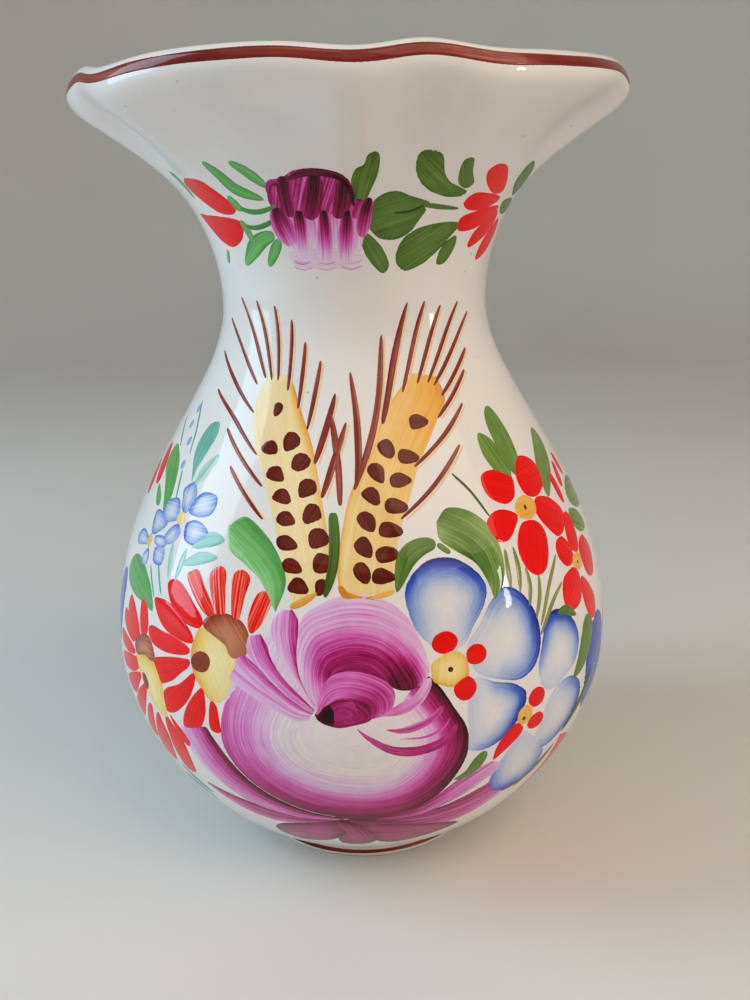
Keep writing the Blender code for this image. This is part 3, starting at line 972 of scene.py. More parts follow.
def front_leaves():
    """Leaves of two greens round the peony and the blue flowers."""
    m = Motif("leaves_front_left", "fern")
    m.ribbon([(-32.6, 100.5), (-31, 96), (-26, 93.3), (-21.5, 90), (-17.8, 84.3)],
             [(-32.6, 100.5), (-28.5, 103), (-23.5, 101), (-18.8, 96.8), (-16, 91), (-17.8, 84.3)],
             load=sided(0.24, 0.56), dry=0.14, layer=3)
    m.stroke([(-41.5, 28.5), (-45.5, 31), (-50, 35.5)], 2.6, LEAF, load=0.5, dry=0.14)
    m.done()
    m = Motif("leaves_front_right", "green")
    m.stroke([(-6.4, 105), (-5.8, 99), (-6.2, 93.5), (-7.6, 88)], 2.7, (0.22, 0.4),
             load=(0.62, 0.78), dry=0.16, layer=3)
    m.ribbon([(18, 102), (18, 98.5), (21.5, 95.5), (25.5, 92.5), (27.5, 88.5), (28.6, 84)],
             [(18, 102), (21.5, 104.5), (27.5, 103), (32, 98.5), (33, 92), (31.5, 87), (28.6, 84)],
             load=lambda t, x: 0.5 + 0.18 * x * np.cos(6 * t), dry=0.2, layer=3)
    m.stroke([(17, 97.8), (13, 97.3), (9.7, 95), (7.2, 88.7)], 4.6, (0.42, 0.7), load=0.55,
             dry=0.14, layer=3)
    m.stroke([(17.3, 97.6), (20, 95.4)], 1.5, ROUND, load=0.5, layer=3)
    m.stroke([(25, 111.2), (29, 107), (32.5, 101)], 0.8, LINER, load=0.7, layer=0)
    m.stroke([(18.5, 41.5), (22, 43), (25, 48.3)], 3.6, (0.8, 0.4), load=0.5, dry=0.16, layer=3)
    m.blot([(50, 57.5), (52.5, 63), (56, 70), (59, 71), (61.5, 68), (60, 64), (56, 59)],
           load=0.56, dry=0.16, layer=3, lean=LONG)
    m.stroke([(60, 56), (56, 49), (50, 42)], 3.6, LEAF, load=0.75, layer=3)
    m.stroke([(49, 39), (44, 33), (39, 29)], 3.0, LEAF, load=0.7, layer=0)
    m.stroke([(45.5, 76), (49, 75.8), (53, 73)], 2.6, LEAF, load=0.6, dry=0.16, layer=3)
    m.done()


# ---------------------------------------------------------------- flowers

RED_PETALS = [
    [(46.5, 109), (48.5, 111), (52.5, 111), (56, 109.5), (57.5, 107), (56.5, 104.2), (54, 103),
     (50.5, 102.3), (47, 103.3), (45.8, 106)],
    [(33.3, 108.5), (35, 110), (39.5, 110), (43.8, 108), (43.2, 105.3), (41.5, 103.5), (38, 103),
     (34, 105.3)],
    [(30.5, 99), (33, 101.5), (37, 101.8), (40.7, 100), (39.3, 98), (35.5, 95.5), (31.7, 96.5)],
    [(40.3, 97), (42.5, 98), (46.5, 97.3), (48.5, 94.5), (47.3, 90), (44.5, 86.8), (41, 86.8),
     (38.3, 90), (38.2, 94)],
    [(50.3, 101.8), (55, 101), (58.7, 98.5), (60, 96), (57.3, 93), (53.3, 92.3), (50.3, 95),
     (48.3, 98), (48.3, 100)],
    [(60, 95.5), (63.3, 94.5), (63.3, 90), (61.2, 86.5), (58, 87.5), (57.3, 91)],
    [(51.5, 91), (55, 91.5), (57.5, 88.3), (57, 85.3), (53.3, 85), (50.8, 88)],
    [(51, 83), (55.8, 83.7), (58, 81), (56.5, 76), (52.5, 74.7), (49.2, 77), (49.2, 80.5)],
    [(59.3, 80.3), (62.3, 77.5), (65, 73), (64, 68.7), (60.3, 69.7), (58, 74), (57.7, 78.5)],
    [(62.7, 87.3), (67.5, 88), (71, 83), (68, 78.3), (63.3, 79.5), (61.7, 84)],
]
RED_LEAVES = [
    [(46, 123), (49, 122), (51, 117), (50.5, 112), (48.3, 108.5), (45.3, 108.5), (43.5, 114),
     (43.3, 120)],
    [(38, 118), (42, 116.5), (44.3, 113), (44.6, 109), (42.6, 107.3), (39, 110), (37, 114)],
    [(67, 115), (70.5, 112), (67, 107), (59.5, 102.5), (56, 101), (56.3, 106), (60, 110.5)],
    [(76, 101), (84, 98), (84, 93), (74, 93.5), (68, 96.5), (69, 99.5)],
    [(64.5, 95.5), (71, 93.3), (74, 89), (68.3, 88.8), (64, 91.5)],
]


def right_red_flowers(turn=0.0, tag=""):
    """Two red flowers with leaves and stems."""
    filled("red_flowers" + tag, "scarlet", RED_PETALS, turn, load=0.6, dry=0.16, layer=2).done()
    filled("red_flower_leaves" + tag, "green", RED_LEAVES, turn, load=0.48, dry=0.16).done()
    filled("red_flower_centres" + tag, "yellow",
           [[(42.3, 102.7), (45.5, 103.3), (48.6, 101.7), (48, 99.3), (45, 98.3), (41.7, 99.2),
             (41, 101)],
            [(57, 86), (60.3, 86), (61.5, 83.5), (58.7, 82.3), (56.5, 84.2)]],
           turn, load=0.6, dry=0.14, layer=4).done()
    m = Motif("red_flower_stems" + tag, "olive", turn)
    for path in ([(36.5, 94), (36.5, 89), (35.5, 84)], [(34, 94), (33.2, 85.5)],
                 [(38.5, 89), (38.7, 85), (37.3, 80)], [(42, 86.5), (41, 82), (38.7, 77)],
                 [(50, 89), (44.5, 83), (39.7, 75)], [(49.5, 82.5), (44.5, 79), (39.3, 73)]):
        m.stroke(path, 1.5, (0.4, 0.4), load=0.24, dry=0.2, layer=0, columns=4)
    m.done()
    m = Motif("red_flower_dots" + tag, "brown", turn)
    m.oval(44.5, 100.9, 1.1, 1.5, load=0.7, layer=6)
    m.oval(58.7, 84.2, 1.0, 1.2, load=0.7, layer=6)
    m.done()


BLUE_PETALS = [           # outline, where its deep edge is, how far that spreads, layer
    ([(11, 79.5), (9.3, 84), (8.7, 88.5), (10.5, 92), (14, 94.5), (18, 95), (22, 93.8),
      (25.8, 90.5), (27.3, 87), (25.8, 83.3), (22.7, 79.3), (20.5, 76), (16, 74.5)],
     0.38, 0.42, 1),
    ([(20.8, 75.3), (24, 79.5), (27.3, 83.8), (31, 86.3), (34.7, 85), (37.8, 81), (39.3, 76),
      (39, 70.5), (36.8, 66.3), (33, 64.5), (28.5, 65.7), (22.5, 69)], 0.47, 0.36, 2),
    ([(22, 68), (26.5, 66), (31, 64.2), (34.3, 61), (33.8, 57), (31.3, 53), (28, 50),
      (24.5, 48.8), (20.8, 50), (20.5, 56), (20.3, 62)], 0.36, 0.32, 1),
    ([(39.3, 59.7), (37.8, 65), (39.4, 71), (41.3, 75.8), (44.7, 77.5), (49, 75.5), (52.3, 71),
      (53, 66.5), (51, 62), (46.5, 59.8), (43, 58.4)], 0.42, 0.36, 1),
    ([(41, 56.5), (45, 59), (49, 59), (53, 56), (54.5, 51), (53, 46), (49, 42.5), (44, 40.8),
      (38.5, 43.5), (38.8, 50)], 0.42, 0.36, 1),
    ([(34, 50.5), (36.5, 48.7), (41, 44), (44.5, 38.5), (43.8, 33.5), (40.3, 30.3),
      (34.5, 29.7), (29.5, 32), (28, 37), (29.3, 43.5)], 0.52, 0.36, 1),
]


def blue_flowers(turn=0.0, tag=""):
    """The two large pale blue flowers, one piece for each petal."""
    for number, (outline, at, spread, layer) in enumerate(BLUE_PETALS, 1):
        m = Motif(f"blue_petal_{number}{tag}", "cobalt", turn)
        m.blot(outline, load=rimmed(0.27, 1.2, at, spread, 2.0), dry=edged(0.02, 0.17, 3),
               layer=layer, around=64, rings=12)
        m.done()
    m = Motif("blue_flower_dabs" + tag, "scarlet", turn)
    for az, z, width, height, lean in ((16.3, 77.2, 6.6, 5.4, 0.0), (23, 73.3, 6.0, 5.4, 0.0),
                                       (20, 66, 5.8, 6.2, 35), (37.3, 58.4, 5.6, 5.2, 0.0),
                                       (37.5, 52, 5.8, 4.6, 0.0)):
        m.oval(az, z, width, height, lean, load=0.62, dry=0.12, layer=3)
    m.stroke([(27.3, 44.6), (29.5, 48.5), (33.4, 52.6)], 5.0, (0.8, 0.32), load=0.62, layer=3)
    m.done()
    m = Motif("blue_flower_yellows" + tag, "yellow", turn)
    m.blot([(13.3, 73), (15.3, 74.2), (17.3, 75.3), (19.3, 74.4), (20.6, 73), (20.9, 71),
            (20.8, 68.8), (19.3, 67.8), (17.2, 66.8), (15.2, 67.6), (13.4, 68.6), (13.1, 70.8)],
           load=rimmed(0.5, 0.8, 0.6, 0.4, 4.0), dry=0.2, layer=4, lean=80)
    m.oval(34.2, 54.9, 5.0, 5.2, load=0.55, dry=0.25, layer=4)
    m.done()
    m = Motif("blue_flower_dots" + tag, "brown", turn)
    m.oval(17, 71, 1.5, 1.5, load=0.7, layer=6)
    m.oval(33.8, 54.2, 1.3, 1.3, load=0.7, layer=6)
    m.done()


FULL_PETALS = [
    [(-47, 85), (-45, 86.5), (-42, 86), (-38, 83), (-35, 80), (-35.5, 78), (-39, 78), (-43, 79.5),
     (-45.5, 82)],
    [(-51, 80), (-49, 81), (-45.5, 81), (-41, 79), (-37.5, 76), (-37.5, 74), (-42, 74),
     (-47, 75.5)],
    [(-52, 72.5), (-50.5, 74), (-46.5, 74), (-42, 74), (-38, 72.5), (-39, 70.8), (-45, 69.5),
     (-50, 70)],
    [(-49.5, 66), (-44, 68.5), (-38, 69.8), (-38, 68), (-40, 66), (-43, 63), (-47, 61),
     (-48.7, 63)],
    [(-45.5, 59.5), (-40.5, 63), (-36.5, 67), (-36, 65.5), (-37, 62), (-39, 58.5), (-42.5, 55),
     (-45.5, 54.5)],
    [(-40, 54), (-38.5, 58), (-36, 62), (-34, 64), (-33.5, 62), (-33.5, 58), (-35, 54),
     (-38, 52), (-40, 52)],
    [(-32, 61), (-30.5, 60.5), (-30, 57), (-30, 54), (-32.5, 54.5)],
]
DRY_PETALS = [
    [(-41, 88), (-40, 89.5), (-38, 90), (-35.5, 87), (-33, 84), (-31.7, 81), (-33.5, 81),
     (-36.5, 83)],
    [(-34.5, 89), (-34, 91), (-32, 92), (-30.5, 91), (-30, 87.5), (-29.3, 81.7), (-31, 81.7),
     (-33, 85)],
    [(-28.5, 89.5), (-28, 91.5), (-26, 92), (-24.3, 90.5), (-25, 87), (-26, 81), (-27.5, 82)],
    [(-23.7, 81.5), (-23.2, 85), (-22, 87.7), (-20.3, 88.3), (-18.7, 86.8), (-19.6, 84),
     (-21, 81), (-22.8, 79.3)],
]
FAR_PETALS = [
    [(-63.5, 77), (-60, 75.5), (-57, 72), (-56, 69), (-59, 67), (-62, 69.5), (-64.5, 73)],
    [(-57, 78), (-56, 79.5), (-54, 78), (-52.5, 74), (-53, 71), (-55, 70), (-56.5, 73)],
    [(-66.5, 72.5), (-62.5, 71.5), (-59.5, 69), (-59.5, 66.5), (-63, 66.8), (-67, 69)],
    [(-69, 66), (-63, 66), (-59, 65), (-59, 63.5), (-64, 62), (-69, 62.5)],
    [(-68, 60), (-58, 63), (-57, 60.3), (-62, 57.5), (-68, 57)],
    [(-65, 55), (-56, 59.8), (-56, 58), (-60.5, 52), (-65, 52)],
    [(-54, 57.5), (-54.2, 53.5), (-59.5, 45.5), (-63, 46), (-60.8, 51)],
    [(-53.2, 52.5), (-52, 51), (-56, 41), (-60, 41), (-56.5, 47.5)],
    [(-50, 51.3), (-48.6, 49), (-48, 44), (-51, 36), (-56.5, 36), (-55, 41.5)],
    [(-46.5, 52), (-44, 50), (-42, 45), (-43, 36.5), (-47, 35.5), (-47.7, 41), (-47.3, 46)],
    [(-44.5, 53), (-42, 51), (-40, 49), (-39, 46.5), (-42, 46.5)],
]


def daisies():
    """Two red daisies, the nearer one with some dry petals."""
    filled("daisy_petals_1", "scarlet", FULL_PETALS, load=0.6, dry=0.16, layer=2).done()
    filled("daisy_petals_1_dry", "scarlet", DRY_PETALS, load=0.42, dry=0.6, layer=2).done()
    filled("daisy_petals_2", "scarlet", FAR_PETALS, load=0.6, dry=0.14).done()
    m = Motif("daisy_discs", "yellow")
    m.blot([(-37.2, 71), (-37, 74), (-35.5, 78), (-33, 80.5), (-29, 79.5), (-26, 75), (-24, 74),
            (-24, 72.6), (-25.8, 71), (-26, 68.5), (-27, 66), (-28.2, 63), (-30, 61.5),
            (-32.5, 61.8), (-34.2, 64), (-36.5, 67)],
           load=rimmed(0.26, 0.85, 0.0, 0.3, 1.3), dry=0.14, layer=3, around=56, rings=10,
           lean=-60)
    m.blot([(-58, 65), (-53, 66.5), (-50, 66.5), (-47.3, 63.5), (-46, 59.5), (-45.5, 52.5),
            (-48.5, 52), (-52, 54.8), (-54.3, 57.5), (-56.5, 60.5)],
           load=rimmed(0.36, 0.85, 0.15, 0.3, 1.6), dry=0.2, layer=3, around=48, rings=8, lean=-60)
    m.done()
    m = Motif("daisy_caps", "brown")
    m.blot([(-34.7, 78.4), (-34, 80.7), (-31, 82.3), (-28, 82.5), (-25, 81.4), (-23.3, 79),
            (-23.1, 76), (-23.8, 73.4), (-26, 72), (-27.5, 73), (-28.5, 75), (-31, 76.3),
            (-33, 77.3)], load=rimmed(0.27, 0.56, 0.1, 0.4, 2.0), dry=0.14, layer=4, around=56,
           rings=8, lean=-50)
    m.blot([(-58.7, 66), (-57.3, 69), (-54.7, 70.3), (-52, 71), (-50, 69.3), (-48.8, 66),
            (-50, 64.8), (-53, 65.5), (-57, 64)], load=rimmed(0.36, 0.62, 0.0, 0.4, 2.0),
           dry=0.2, layer=4, lean=LONG)
    m.blot([(-37.2, 69.8), (-36.3, 72), (-34.5, 73.2), (-32.5, 72.8), (-31.6, 71), (-32.3, 68.7),
            (-34, 67.6), (-36.2, 67.9)], load=0.5, dry=0.12, layer=5, lean=60)
    m.blot([(-54.9, 60.3), (-53.2, 60.8), (-51.6, 58.5), (-52.4, 56.6), (-54, 57)], load=0.5,
           layer=5)
    m.done()


SMALL_BLUE_PETALS = [
    [(-49, 107.5), (-52, 105.5), (-51, 103.5), (-50, 101.5), (-47.5, 101), (-46.5, 103),
     (-46, 105), (-47.5, 107)],
    [(-43.5, 106), (-46, 104), (-47, 102), (-45.5, 101), (-42, 101), (-39, 102), (-38, 104),
     (-39, 106)],
    [(-46, 99), (-46, 97), (-45, 95.5), (-42, 95), (-39, 96.5), (-38, 98), (-40, 99.5), (-43, 100)],
    [(-52.5, 103), (-57, 102), (-58, 100), (-56, 97.5), (-52.5, 98), (-50, 99.5)],
    [(-49.5, 98), (-52.5, 96), (-53.5, 93.5), (-52, 93), (-49, 94), (-47.5, 96.5)],
    [(-60, 99), (-62, 98), (-61, 94.5), (-59.5, 93.5), (-57, 94.5), (-54, 97), (-56.5, 98.5)],
    [(-66, 93), (-69, 90.5), (-67, 89), (-63, 90), (-60, 91), (-62, 92.5)],
    [(-56, 91), (-56, 89.5), (-55, 88), (-52, 88), (-51, 90), (-52, 92), (-54.5, 92)],
    [(-59.5, 90), (-61.5, 88), (-61.5, 86.5), (-59, 86), (-58, 88)],
    [(-57.5, 93.5), (-53.5, 94.3), (-51.5, 93), (-53.5, 91.8), (-57, 92)],
]


def small_blue_flowers(turn=0.0, tag=""):
    """The forget-me-nots with their leaves and buds."""
    filled("small_blue_petals" + tag, "cobalt", SMALL_BLUE_PETALS, turn,
           load=rimmed(0.52, 0.74, 0.1, 0.6, 1.4), dry=0.2, layer=2).done()
    m = Motif("small_blue_centres" + tag, "yellow", turn)
    m.oval(-49, 99.5, 3.4, 3.4, load=0.3, dry=0.1, layer=4)
    m.oval(-60, 91.8, 3.0, 3.4, load=0.5, dry=0.1, layer=4)
    m.done()
    m = Motif("small_flower_leaves" + tag, "teal", turn)
    for outline, load in (
            ([(-48.5, 121), (-53, 120), (-55, 116.5), (-54.5, 113), (-51.5, 109), (-50, 107),
              (-50, 110), (-48.5, 114), (-47, 118)], 0.45),
            ([(-43, 114.5), (-46, 113), (-48, 111), (-49, 108), (-48.5, 106.5), (-46, 108),
              (-44, 111), (-42.5, 113)], 0.2)):
        m.blot(outline, load=load, dry=0.16, layer=1, lean=LONG)
    for path, width, load in (
            ([(-32.5, 97.5), (-37, 97), (-42, 94.5)], 3.6, 0.3),
            ([(-33.5, 93.7), (-38.5, 92.7), (-44, 90.2)], 3.0, 0.3),
            ([(-49, 94), (-47.5, 86)], 1.8, 0.25), ([(-43.5, 94), (-45, 86)], 1.8, 0.25)):
        m.stroke(path, width, LEAF, load=load, dry=0.16, layer=1)
    for path in ([(-66.5, 124), (-60, 118), (-57, 112.5)], [(-75, 119), (-65.5, 113)],
                 [(-57, 109), (-54, 102.5)], [(-56, 87), (-51.5, 80.5)], [(-52.5, 88), (-49, 82)]):
        m.stroke(path, 0.9, LINER, load=0.55, layer=0, columns=4)
    m.done()
    filled("small_flower_greens" + tag, "fern", [
        [(-69, 113), (-71, 111), (-70, 108), (-64.5, 105), (-61, 102), (-58, 99), (-57, 101.5),
         (-58, 106), (-61, 110), (-65, 112)],
        [(-68, 103.5), (-67.5, 102), (-64, 99.5), (-62, 100), (-63.5, 102)],
        [(-66, 86.5), (-69, 84), (-69, 81), (-66, 79), (-60.5, 78), (-56, 78), (-51.5, 77.5),
         (-54, 82.5), (-59, 86), (-63, 87)],
    ], turn, load=0.5, dry=0.14).done()
    m = Motif("small_blue_buds" + tag, "cobalt", turn)
    for az, z in ((-65.5, 118.3), (-61, 115), (-58, 110), (-66, 122)):
        m.oval(az, z, 2.0, 2.6, load=0.46, layer=2)
    m.done()


# ---------------------------------------------------------------- the garland round the neck

def neck_bud(turn=0.0, tag=""):
    """The thistle-like bud: a pale wash, a hood and its dark bands."""
    wash, hood = 0.12, 0.56
    m = Motif("neck_bud_wash" + tag, "magenta", turn)
    m.blot([(-25, 168), (-25, 162), (-24, 157.3), (-17, 156), (-10, 155.7), (-3, 156.1),
            (4, 157.5), (3.6, 161), (4, 166), (-10, 168.5)],
           load=edged(wash, -0.06), dry=0.1, layer=0, around=48, rings=8, lean=4)
    for low in (156.3, 157.6):
        for first in (-23, -14, -5):
            m.stroke([(first, low + 0.7), (first + 4, low), (first + 8.4, low + 0.7)], 0.7, LINER,
                     load=0.24, dry=0.4, layer=0, columns=4)
    for az in (-20.4, -13.5, -5.8, 1.2):
        m.stroke([(az, 171), (az - 0.4, 160.5)], 5.4, (0.5, 0.5), load=melting(0.5, wash, wash),
                 dry=0.2, layer=1, columns=8)
    m.done()
    m = Motif("neck_bud" + tag, "magenta", turn)
    m.blot([(-26, 173), (-24.5, 175.3), (-20, 175.7), (-16, 177), (-10, 177.6), (-4, 177.1),
            (-0.5, 175.3), (0.8, 172.4), (2.5, 170.8), (5, 171.2), (5, 168.5), (4, 166.2),
            (-0.5, 167.2), (-7, 167.6), (-16.5, 167.6), (-24.5, 168.3), (-26.6, 170.5)],
           load=edged(hood, 0.14, 5), dry=0.34, layer=2, around=72, rings=12, lean=70)
    m.done()
    m = Motif("neck_bud_bands" + tag, "magenta", turn)
    m.stroke([(-20.5, 174.6), (-14, 176.3), (-8, 176.6), (-3, 175.8), (-0.6, 173.2), (0.6, 169.5)],
             2.2, (0.7, 0.7), load=(0.84, 0.94), dry=0.2, layer=3, columns=8)
    for path, width, dark, end, ground in (
            ([(-25.6, 172.6), (-23.5, 174.6), (-20, 174.4)], 2.0, 0.7, 0.7, hood),
            ([(-19, 176), (-20, 173), (-20.4, 167.5)], 4.4, 0.98, 0.7, hood),
            ([(-9.8, 176.6), (-11.5, 172), (-14.5, 167)], 5.6, 1.0, 0.74, hood),
            ([(-2, 175.6), (-3, 171), (-4.7, 167)], 5.0, 0.98, 0.8, hood),
            ([(5.2, 171.6), (4, 168.3), (2.8, 163)], 3.4, 1.1, 0.5, 0.4),
            ([(-24.3, 170), (-24, 166.3), (-21.5, 161.5)], 6.0, 1.05, 0.3, 0.3),
            ([(-17, 169.5), (-17.6, 165), (-18.4, 159.5)], 4.2, 1.15, wash, wash),
            ([(-9, 169.5), (-9.5, 163.3), (-10, 157.5)], 4.0, 1.15, wash, wash),
            ([(-1.6, 169.5), (-2.3, 163.3), (-3, 157.5)], 4.0, 1.15, wash, wash)):
        m.stroke(path, width, (0.42, 0.42), load=melting(dark, end, ground), dry=0.24, layer=3,
                 columns=10)
    m.done()


def neck_leaves(turn=0.0, tag=""):
    """The garland's leaves, of a cool green left and a warm green right."""
    m = Motif("neck_leaves_left" + tag, "fern", turn)
    for path, width in (
            ([(-42.5, 179.7), (-40, 177), (-36.5, 173.8), (-27.7, 171.5)], 3.1),
            ([(-34, 179), (-30, 177), (-24.8, 173.8)], 2.6),
            ([(-28, 164.2), (-36.5, 162), (-46, 157)], 3.7),
            ([(-26.5, 163), (-30, 160), (-33.7, 156.8)], 2.5),
            ([(-67.5, 178), (-64, 175), (-62, 172)], 2.0),
            ([(-55.5, 160.5), (-58.5, 157)], 1.3),
            ([(-41.5, 172.5), (-39.5, 170.3), (-37.5, 169.3)], 2.3),
            ([(-41, 167.3), (-39.5, 165), (-38.3, 161.8)], 2.0)):
        m.stroke(path, 1.12 * width, (0.45, 0.55), load=edged(0.42, 0.24),
                 dry=0.16, columns=8)
    for path in ([(-41, 171.6), (-37, 169.4), (-31, 169), (-23.5, 170.3)],
                 [(-41, 167), (-39, 165.8), (-33, 165.7), (-24.5, 167.6)]):
        m.stroke(path, 1.5, (0.4, 0.4), load=0.6, layer=1, columns=4)
    m.done()
    m = filled("neck_leaves_right" + tag, "green", [
        [(0, 175.5), (1.3, 177.8), (3.2, 178.4), (4, 180.3), (6, 180.6), (7.1, 179.2), (7, 176.3),
         (5.5, 173.3), (3.4, 170), (1.6, 170.8), (0.2, 173)],
        [(4, 164.2), (7, 163), (10.5, 160.5), (13, 157), (10.8, 155.3), (7.5, 156.8), (4.3, 159.5),
         (3, 162.3)],
        [(4.8, 167), (6, 170), (9, 172), (13.5, 172.6), (18, 171.6), (25, 170.2), (20.7, 169.8),
         (24, 169), (22.3, 166.7), (19.5, 164), (14.5, 162.6), (9.3, 163), (6.2, 164.8)],
        [(17.3, 179.2), (19.5, 180.6), (23.2, 180.2), (26.5, 176.3), (31, 174), (37, 172.7),
         (36, 171.6), (29, 171.6), (22.3, 173.3), (18.3, 176)],
        [(30.7, 177), (30.3, 179.3), (33, 179.6), (35.5, 176.8), (38.5, 174.3), (36.3, 173.2),
         (32.7, 174.3)],
        [(15.7, 158.5), (18, 162.7), (24, 165), (33, 165.9), (40, 165.4), (37, 162.8), (33, 160),
         (26, 156.8), (19, 155.7)],
        [(33, 156.8), (33.7, 160), (36.5, 162), (40, 162.7), (40.3, 160), (37, 157)],
        [(63, 174), (63.5, 177), (67, 178.6), (72, 177), (75, 173.6), (69, 171.5)],
        [(62, 170.2), (70, 170.8), (76, 169.3), (71, 167.3), (64, 167.8)],
    ], turn, load=edged(0.56, 0.12), dry=0.18, layer=1)
    m.stroke([(21.5, 170), (29, 169.3), (37, 168.8)], 1.4, (0.3, 0.4), load=0.6, columns=4)
    m.stroke([(23.5, 170), (19, 168.6), (13, 168.2)], 0.7, LINER, load=0.9, layer=2, columns=4)
    m.done()


def neck_red_flowers(turn=0.0, tag=""):
    """The red petals at both ends of the garland."""
    filled("neck_red_petals" + tag, "scarlet", [
        [(-61.5, 174.8), (-58, 176.4), (-50, 176.3), (-46, 174), (-41, 170.2), (-43.5, 168.6),
         (-50.5, 169), (-57, 171.7)],
        [(-66.5, 168.3), (-60, 168.2), (-52.5, 168), (-41.7, 167), (-42.5, 164), (-47, 161.8),
         (-53, 161.3), (-60, 163.5)],
        [(45, 174), (42, 176.5), (44.5, 178), (50, 177.4), (55.5, 174.3), (56.3, 172.3),
         (51, 172)],
        [(38.5, 170), (41.5, 172), (48, 172), (56.5, 171.2), (56, 169.9), (49, 168.5),
         (42, 168.5)],
        [(40.7, 164), (39.7, 166.7), (45.5, 168), (53.5, 169), (60, 169), (58.3, 166.8),
         (49, 164.3)],
        [(48.7, 160), (49.2, 163), (54.5, 165.8), (61, 168), (63, 165.3), (57.5, 162)],
        [(56.5, 157), (58, 161), (62, 164), (66, 166.2), (70, 163), (65.5, 159)],
    ], turn, load=0.62, dry=0.14, layer=2).done()


# ---------------------------------------------------------------- the sides and the back

def side_touches():
    """Flowers at the far left and right, of which the front shows slivers."""
    m = Motif("side_red_touches", "scarlet")
    for path, width in (
            ([(-77, 112), (-70, 103)], 6.0), ([(-82, 107), (-76, 99)], 6.0),
            ([(62.5, 105.5), (63.3, 97.5)], 3.4), ([(69.5, 106.5), (67, 100.5)], 3.4),
            ([(73, 108), (74, 102)], 3.4)):
        m.stroke(path, width, (0.5, 0.5), load=0.6, dry=0.12)
    m.ribbon([(34, 12.5), (39, 16), (43.5, 20.5), (47.5, 26), (50, 32.5), (50.5, 41)],
             [(34, 12.5), (44, 13.6), (52, 17), (58, 22.5), (61, 30), (58, 37), (50.5, 41)],
             load=0.66, dry=0.16, layer=0)
    m.stroke([(60, 16), (68, 22), (71, 30), (66, 38)], 8.0, (0.5, 0.6), load=0.62, dry=0.16,
             layer=0)
    m.done()
    m = Motif("side_blue_touches", "cobalt")
    m.stroke([(-71, 81), (-74, 72), (-73, 61)], 11.0, LEAF, load=0.78, dry=0.2, layer=0)
    m.stroke([(-52, 31), (-43, 25)], 4.0, LEAF, load=0.6, dry=0.2, layer=0)
    for petal in (
            [(56, 50), (56.5, 60), (60, 67), (67, 69), (72, 63), (70, 55), (65, 48), (59, 44)],
            [(74, 65), (80, 68), (86, 64), (86, 57), (79, 53), (73, 57)],
            [(70, 49), (78, 50), (84, 46), (82, 39), (73, 39), (68, 44)]):
        m.blot(petal, load=edged(0.7, 0.24, 2), dry=0.14, layer=0, lean=60)
    m.done()
    m = Motif("side_centre", "yellow")
    m.oval(72.5, 53.5, 4.6, 4.2, load=0.6, dry=0.14, layer=2)
    m.done()


def bouquet_back():
    """The side away from the front, which carries the same small flowers again."""
    right_red_flowers(118.0, "_back_1")
    small_blue_flowers(222.0, "_back_1")
    blue_flowers(155.0, "_back")


def painting():
    """The whole bouquet, and the garland at the front and at the back."""
    for motif in (peony_outer_petals, peony_lower_petals, peony_bowl, peony_hood, peony_bud,
                  peony_left_petals, peony_heart, peony_right_strokes, wheat_ears, wheat_grains,
                  wheat_awns, front_leaves, right_red_flowers, blue_flowers, daisies,
                  small_blue_flowers, side_touches, bouquet_back):
        motif()
    for turn, tag in ((0.0, ""), (180.0, "_back")):
        neck_bud(turn, tag)
        neck_leaves(turn, tag)
        neck_red_flowers(turn, tag)


# ---------------------------------------------------------------- floor, light and camera

FLOOR_FLAT = 900.0        # the floor is flat out to this radius, mm
FLOOR_BEND = 500.0        # and then bends up with this one
WALL_TOP = 1600.0
FLOOR_COLUMNS = 96
LOOK_AT = (0.0, 0.0, 0.1)           # what the softboxes face, m
SOFT_LIGHTS = [           # name, place in m, width and height in m, watts, colour
    ("window_left", (-0.76, -0.06, 0.43), 0.34, 0.80, 3.9, (0.54, 0.80, 1.0)),
    ("window_right", (0.715, -0.311, 0.20), 0.05, 0.15, 0.4, (1.0, 0.95, 0.88)),
    ("warm_right", (0.52, -0.46, 0.74), 0.80, 0.80, 3.2, (1.0, 0.87, 0.72)),
    ("front_top", (-0.15, -0.50, 0.80), 0.90, 0.90, 1.4, (1.0, 0.95, 0.92)),
]
ROOM_COLOUR = (1.0, 0.97, 0.94, 1.0)
ROOM_STRENGTH = 0.20
CAMERA_PLACE = (0.0, -0.2642, 0.1715)
CAMERA_PITCH = math.radians(16.82)
CAMERA_YAW = math.radians(-0.93)
CAMERA_ROLL = math.radians(1.14)
CAMERA_LENS = 36.0


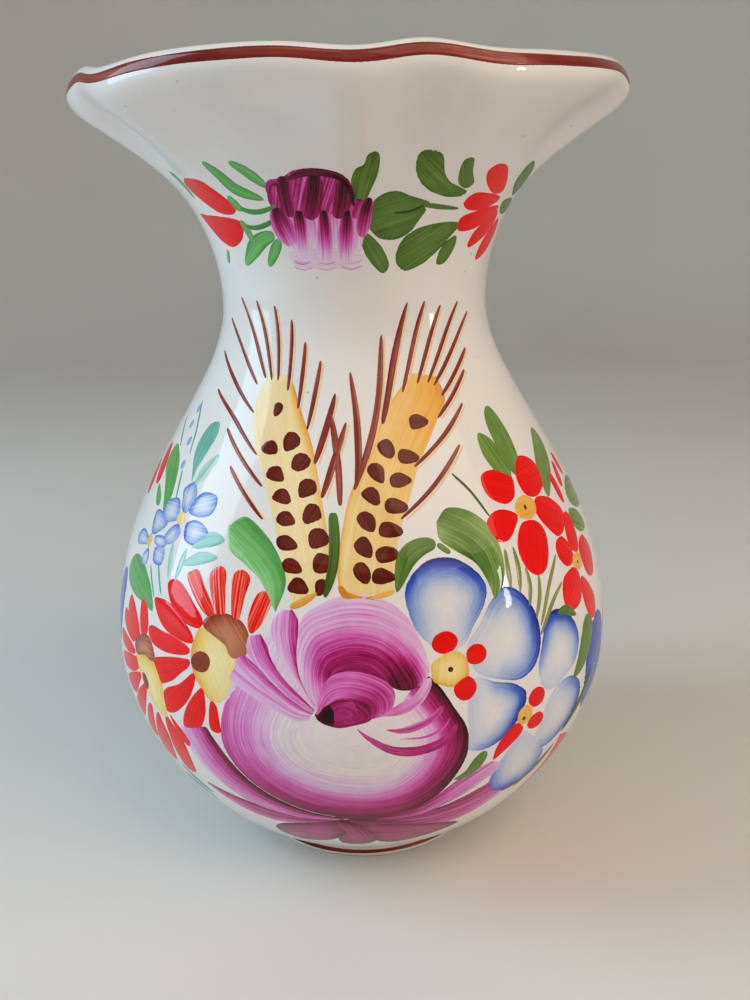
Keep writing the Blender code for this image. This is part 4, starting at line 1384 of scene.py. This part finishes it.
def floor():
    """A pale floor that curves up into a wall all round."""
    line = [(0.0, 0.0), (400.0, 0.0), (FLOOR_FLAT, 0.0)]
    for k in range(1, 9):
        a = math.pi / 2 * k / 8
        line.append((FLOOR_FLAT + FLOOR_BEND * math.sin(a), FLOOR_BEND * (1 - math.cos(a))))
    line.append((FLOOR_FLAT + FLOOR_BEND, WALL_TOP))
    material, tree = new_tree("pale_floor")
    place = add_node(tree, "ShaderNodeTexCoord").outputs["Object"]
    tone = ramp(tree, [(0.3, (222, 219, 214)), (0.7, (230, 227, 222))])
    body = add_node(tree, "ShaderNodeBsdfPrincipled", Roughness=0.75)
    out = add_node(tree, "ShaderNodeOutputMaterial")
    tree.links.new(noise(tree, place, Scale=3.0, Detail=4.0), tone.inputs["Fac"])
    tree.links.new(tone.outputs["Color"], body.inputs["Base Color"])
    tree.links.new(body.outputs["BSDF"], out.inputs["Surface"])
    angles = np.linspace(0.0, math.tau, FLOOR_COLUMNS, endpoint=False)
    points, faces = [(0.0, 0.0, 0.0)], []
    for r, z in line[1:]:
        points.extend((r * math.sin(a), -r * math.cos(a), z) for a in angles)
    for i in range(FLOOR_COLUMNS):
        j = (i + 1) % FLOOR_COLUMNS
        faces.append([0, 1 + i, 1 + j])
        for row in range(len(line) - 2):
            low = 1 + row * FLOOR_COLUMNS
            high = low + FLOOR_COLUMNS
            faces.append([low + i, high + i, high + j, low + j])
    made = mesh_object("floor", points, faces, material)


def soft_light(name, place, width, height, watts, colour):
    """A softbox that faces the vase."""
    data = bpy.data.lights.new(name, "AREA")
    data.shape, data.size, data.size_y = "RECTANGLE", width, height
    data.energy, data.color = watts, colour
    made = bpy.data.objects.new(name, data)
    made.location = place
    aim = Vector(LOOK_AT) - Vector(place)
    made.rotation_euler = aim.to_track_quat("-Z", "Y").to_euler()
    bpy.context.scene.collection.objects.link(made)


def lights():
    """The softboxes, an even pale room, and how its light is shown."""
    for light in SOFT_LIGHTS:
        soft_light(*light)
    bpy.context.scene.view_settings.view_transform = "Standard"
    bpy.context.scene.view_settings.look = "Medium High Contrast"
    world = bpy.data.worlds.new("pale_room")
    world.use_nodes = True
    background = world.node_tree.nodes["Background"]
    background.inputs["Color"].default_value = ROOM_COLOUR
    background.inputs["Strength"].default_value = ROOM_STRENGTH
    bpy.context.scene.world = world


def camera():
    """Stands where the photographer stood: in front, a little above, turned slightly down."""
    level = Vector((-math.sin(CAMERA_YAW), math.cos(CAMERA_YAW), 0.0))
    right = Vector((math.cos(CAMERA_YAW), math.sin(CAMERA_YAW), 0.0))
    up_axis = Vector((0.0, 0.0, 1.0))
    forward = level * math.cos(CAMERA_PITCH) - up_axis * math.sin(CAMERA_PITCH)
    up = level * math.sin(CAMERA_PITCH) + up_axis * math.cos(CAMERA_PITCH)
    side = right * math.cos(CAMERA_ROLL) - up * math.sin(CAMERA_ROLL)
    top = right * math.sin(CAMERA_ROLL) + up * math.cos(CAMERA_ROLL)
    data = bpy.data.cameras.new("camera")
    data.lens, data.sensor_width, data.sensor_fit = CAMERA_LENS, 36.0, "AUTO"
    data.clip_start, data.clip_end = 0.01, 20.0
    made = bpy.data.objects.new("camera", data)
    turn = Matrix((side, top, -forward)).transposed().to_4x4()
    made.matrix_world = Matrix.Translation(CAMERA_PLACE) @ turn
    bpy.context.scene.collection.objects.link(made)
    bpy.context.scene.camera = made


pot()
foot()
painted_lines()
painting()
floor()
lights()
camera()
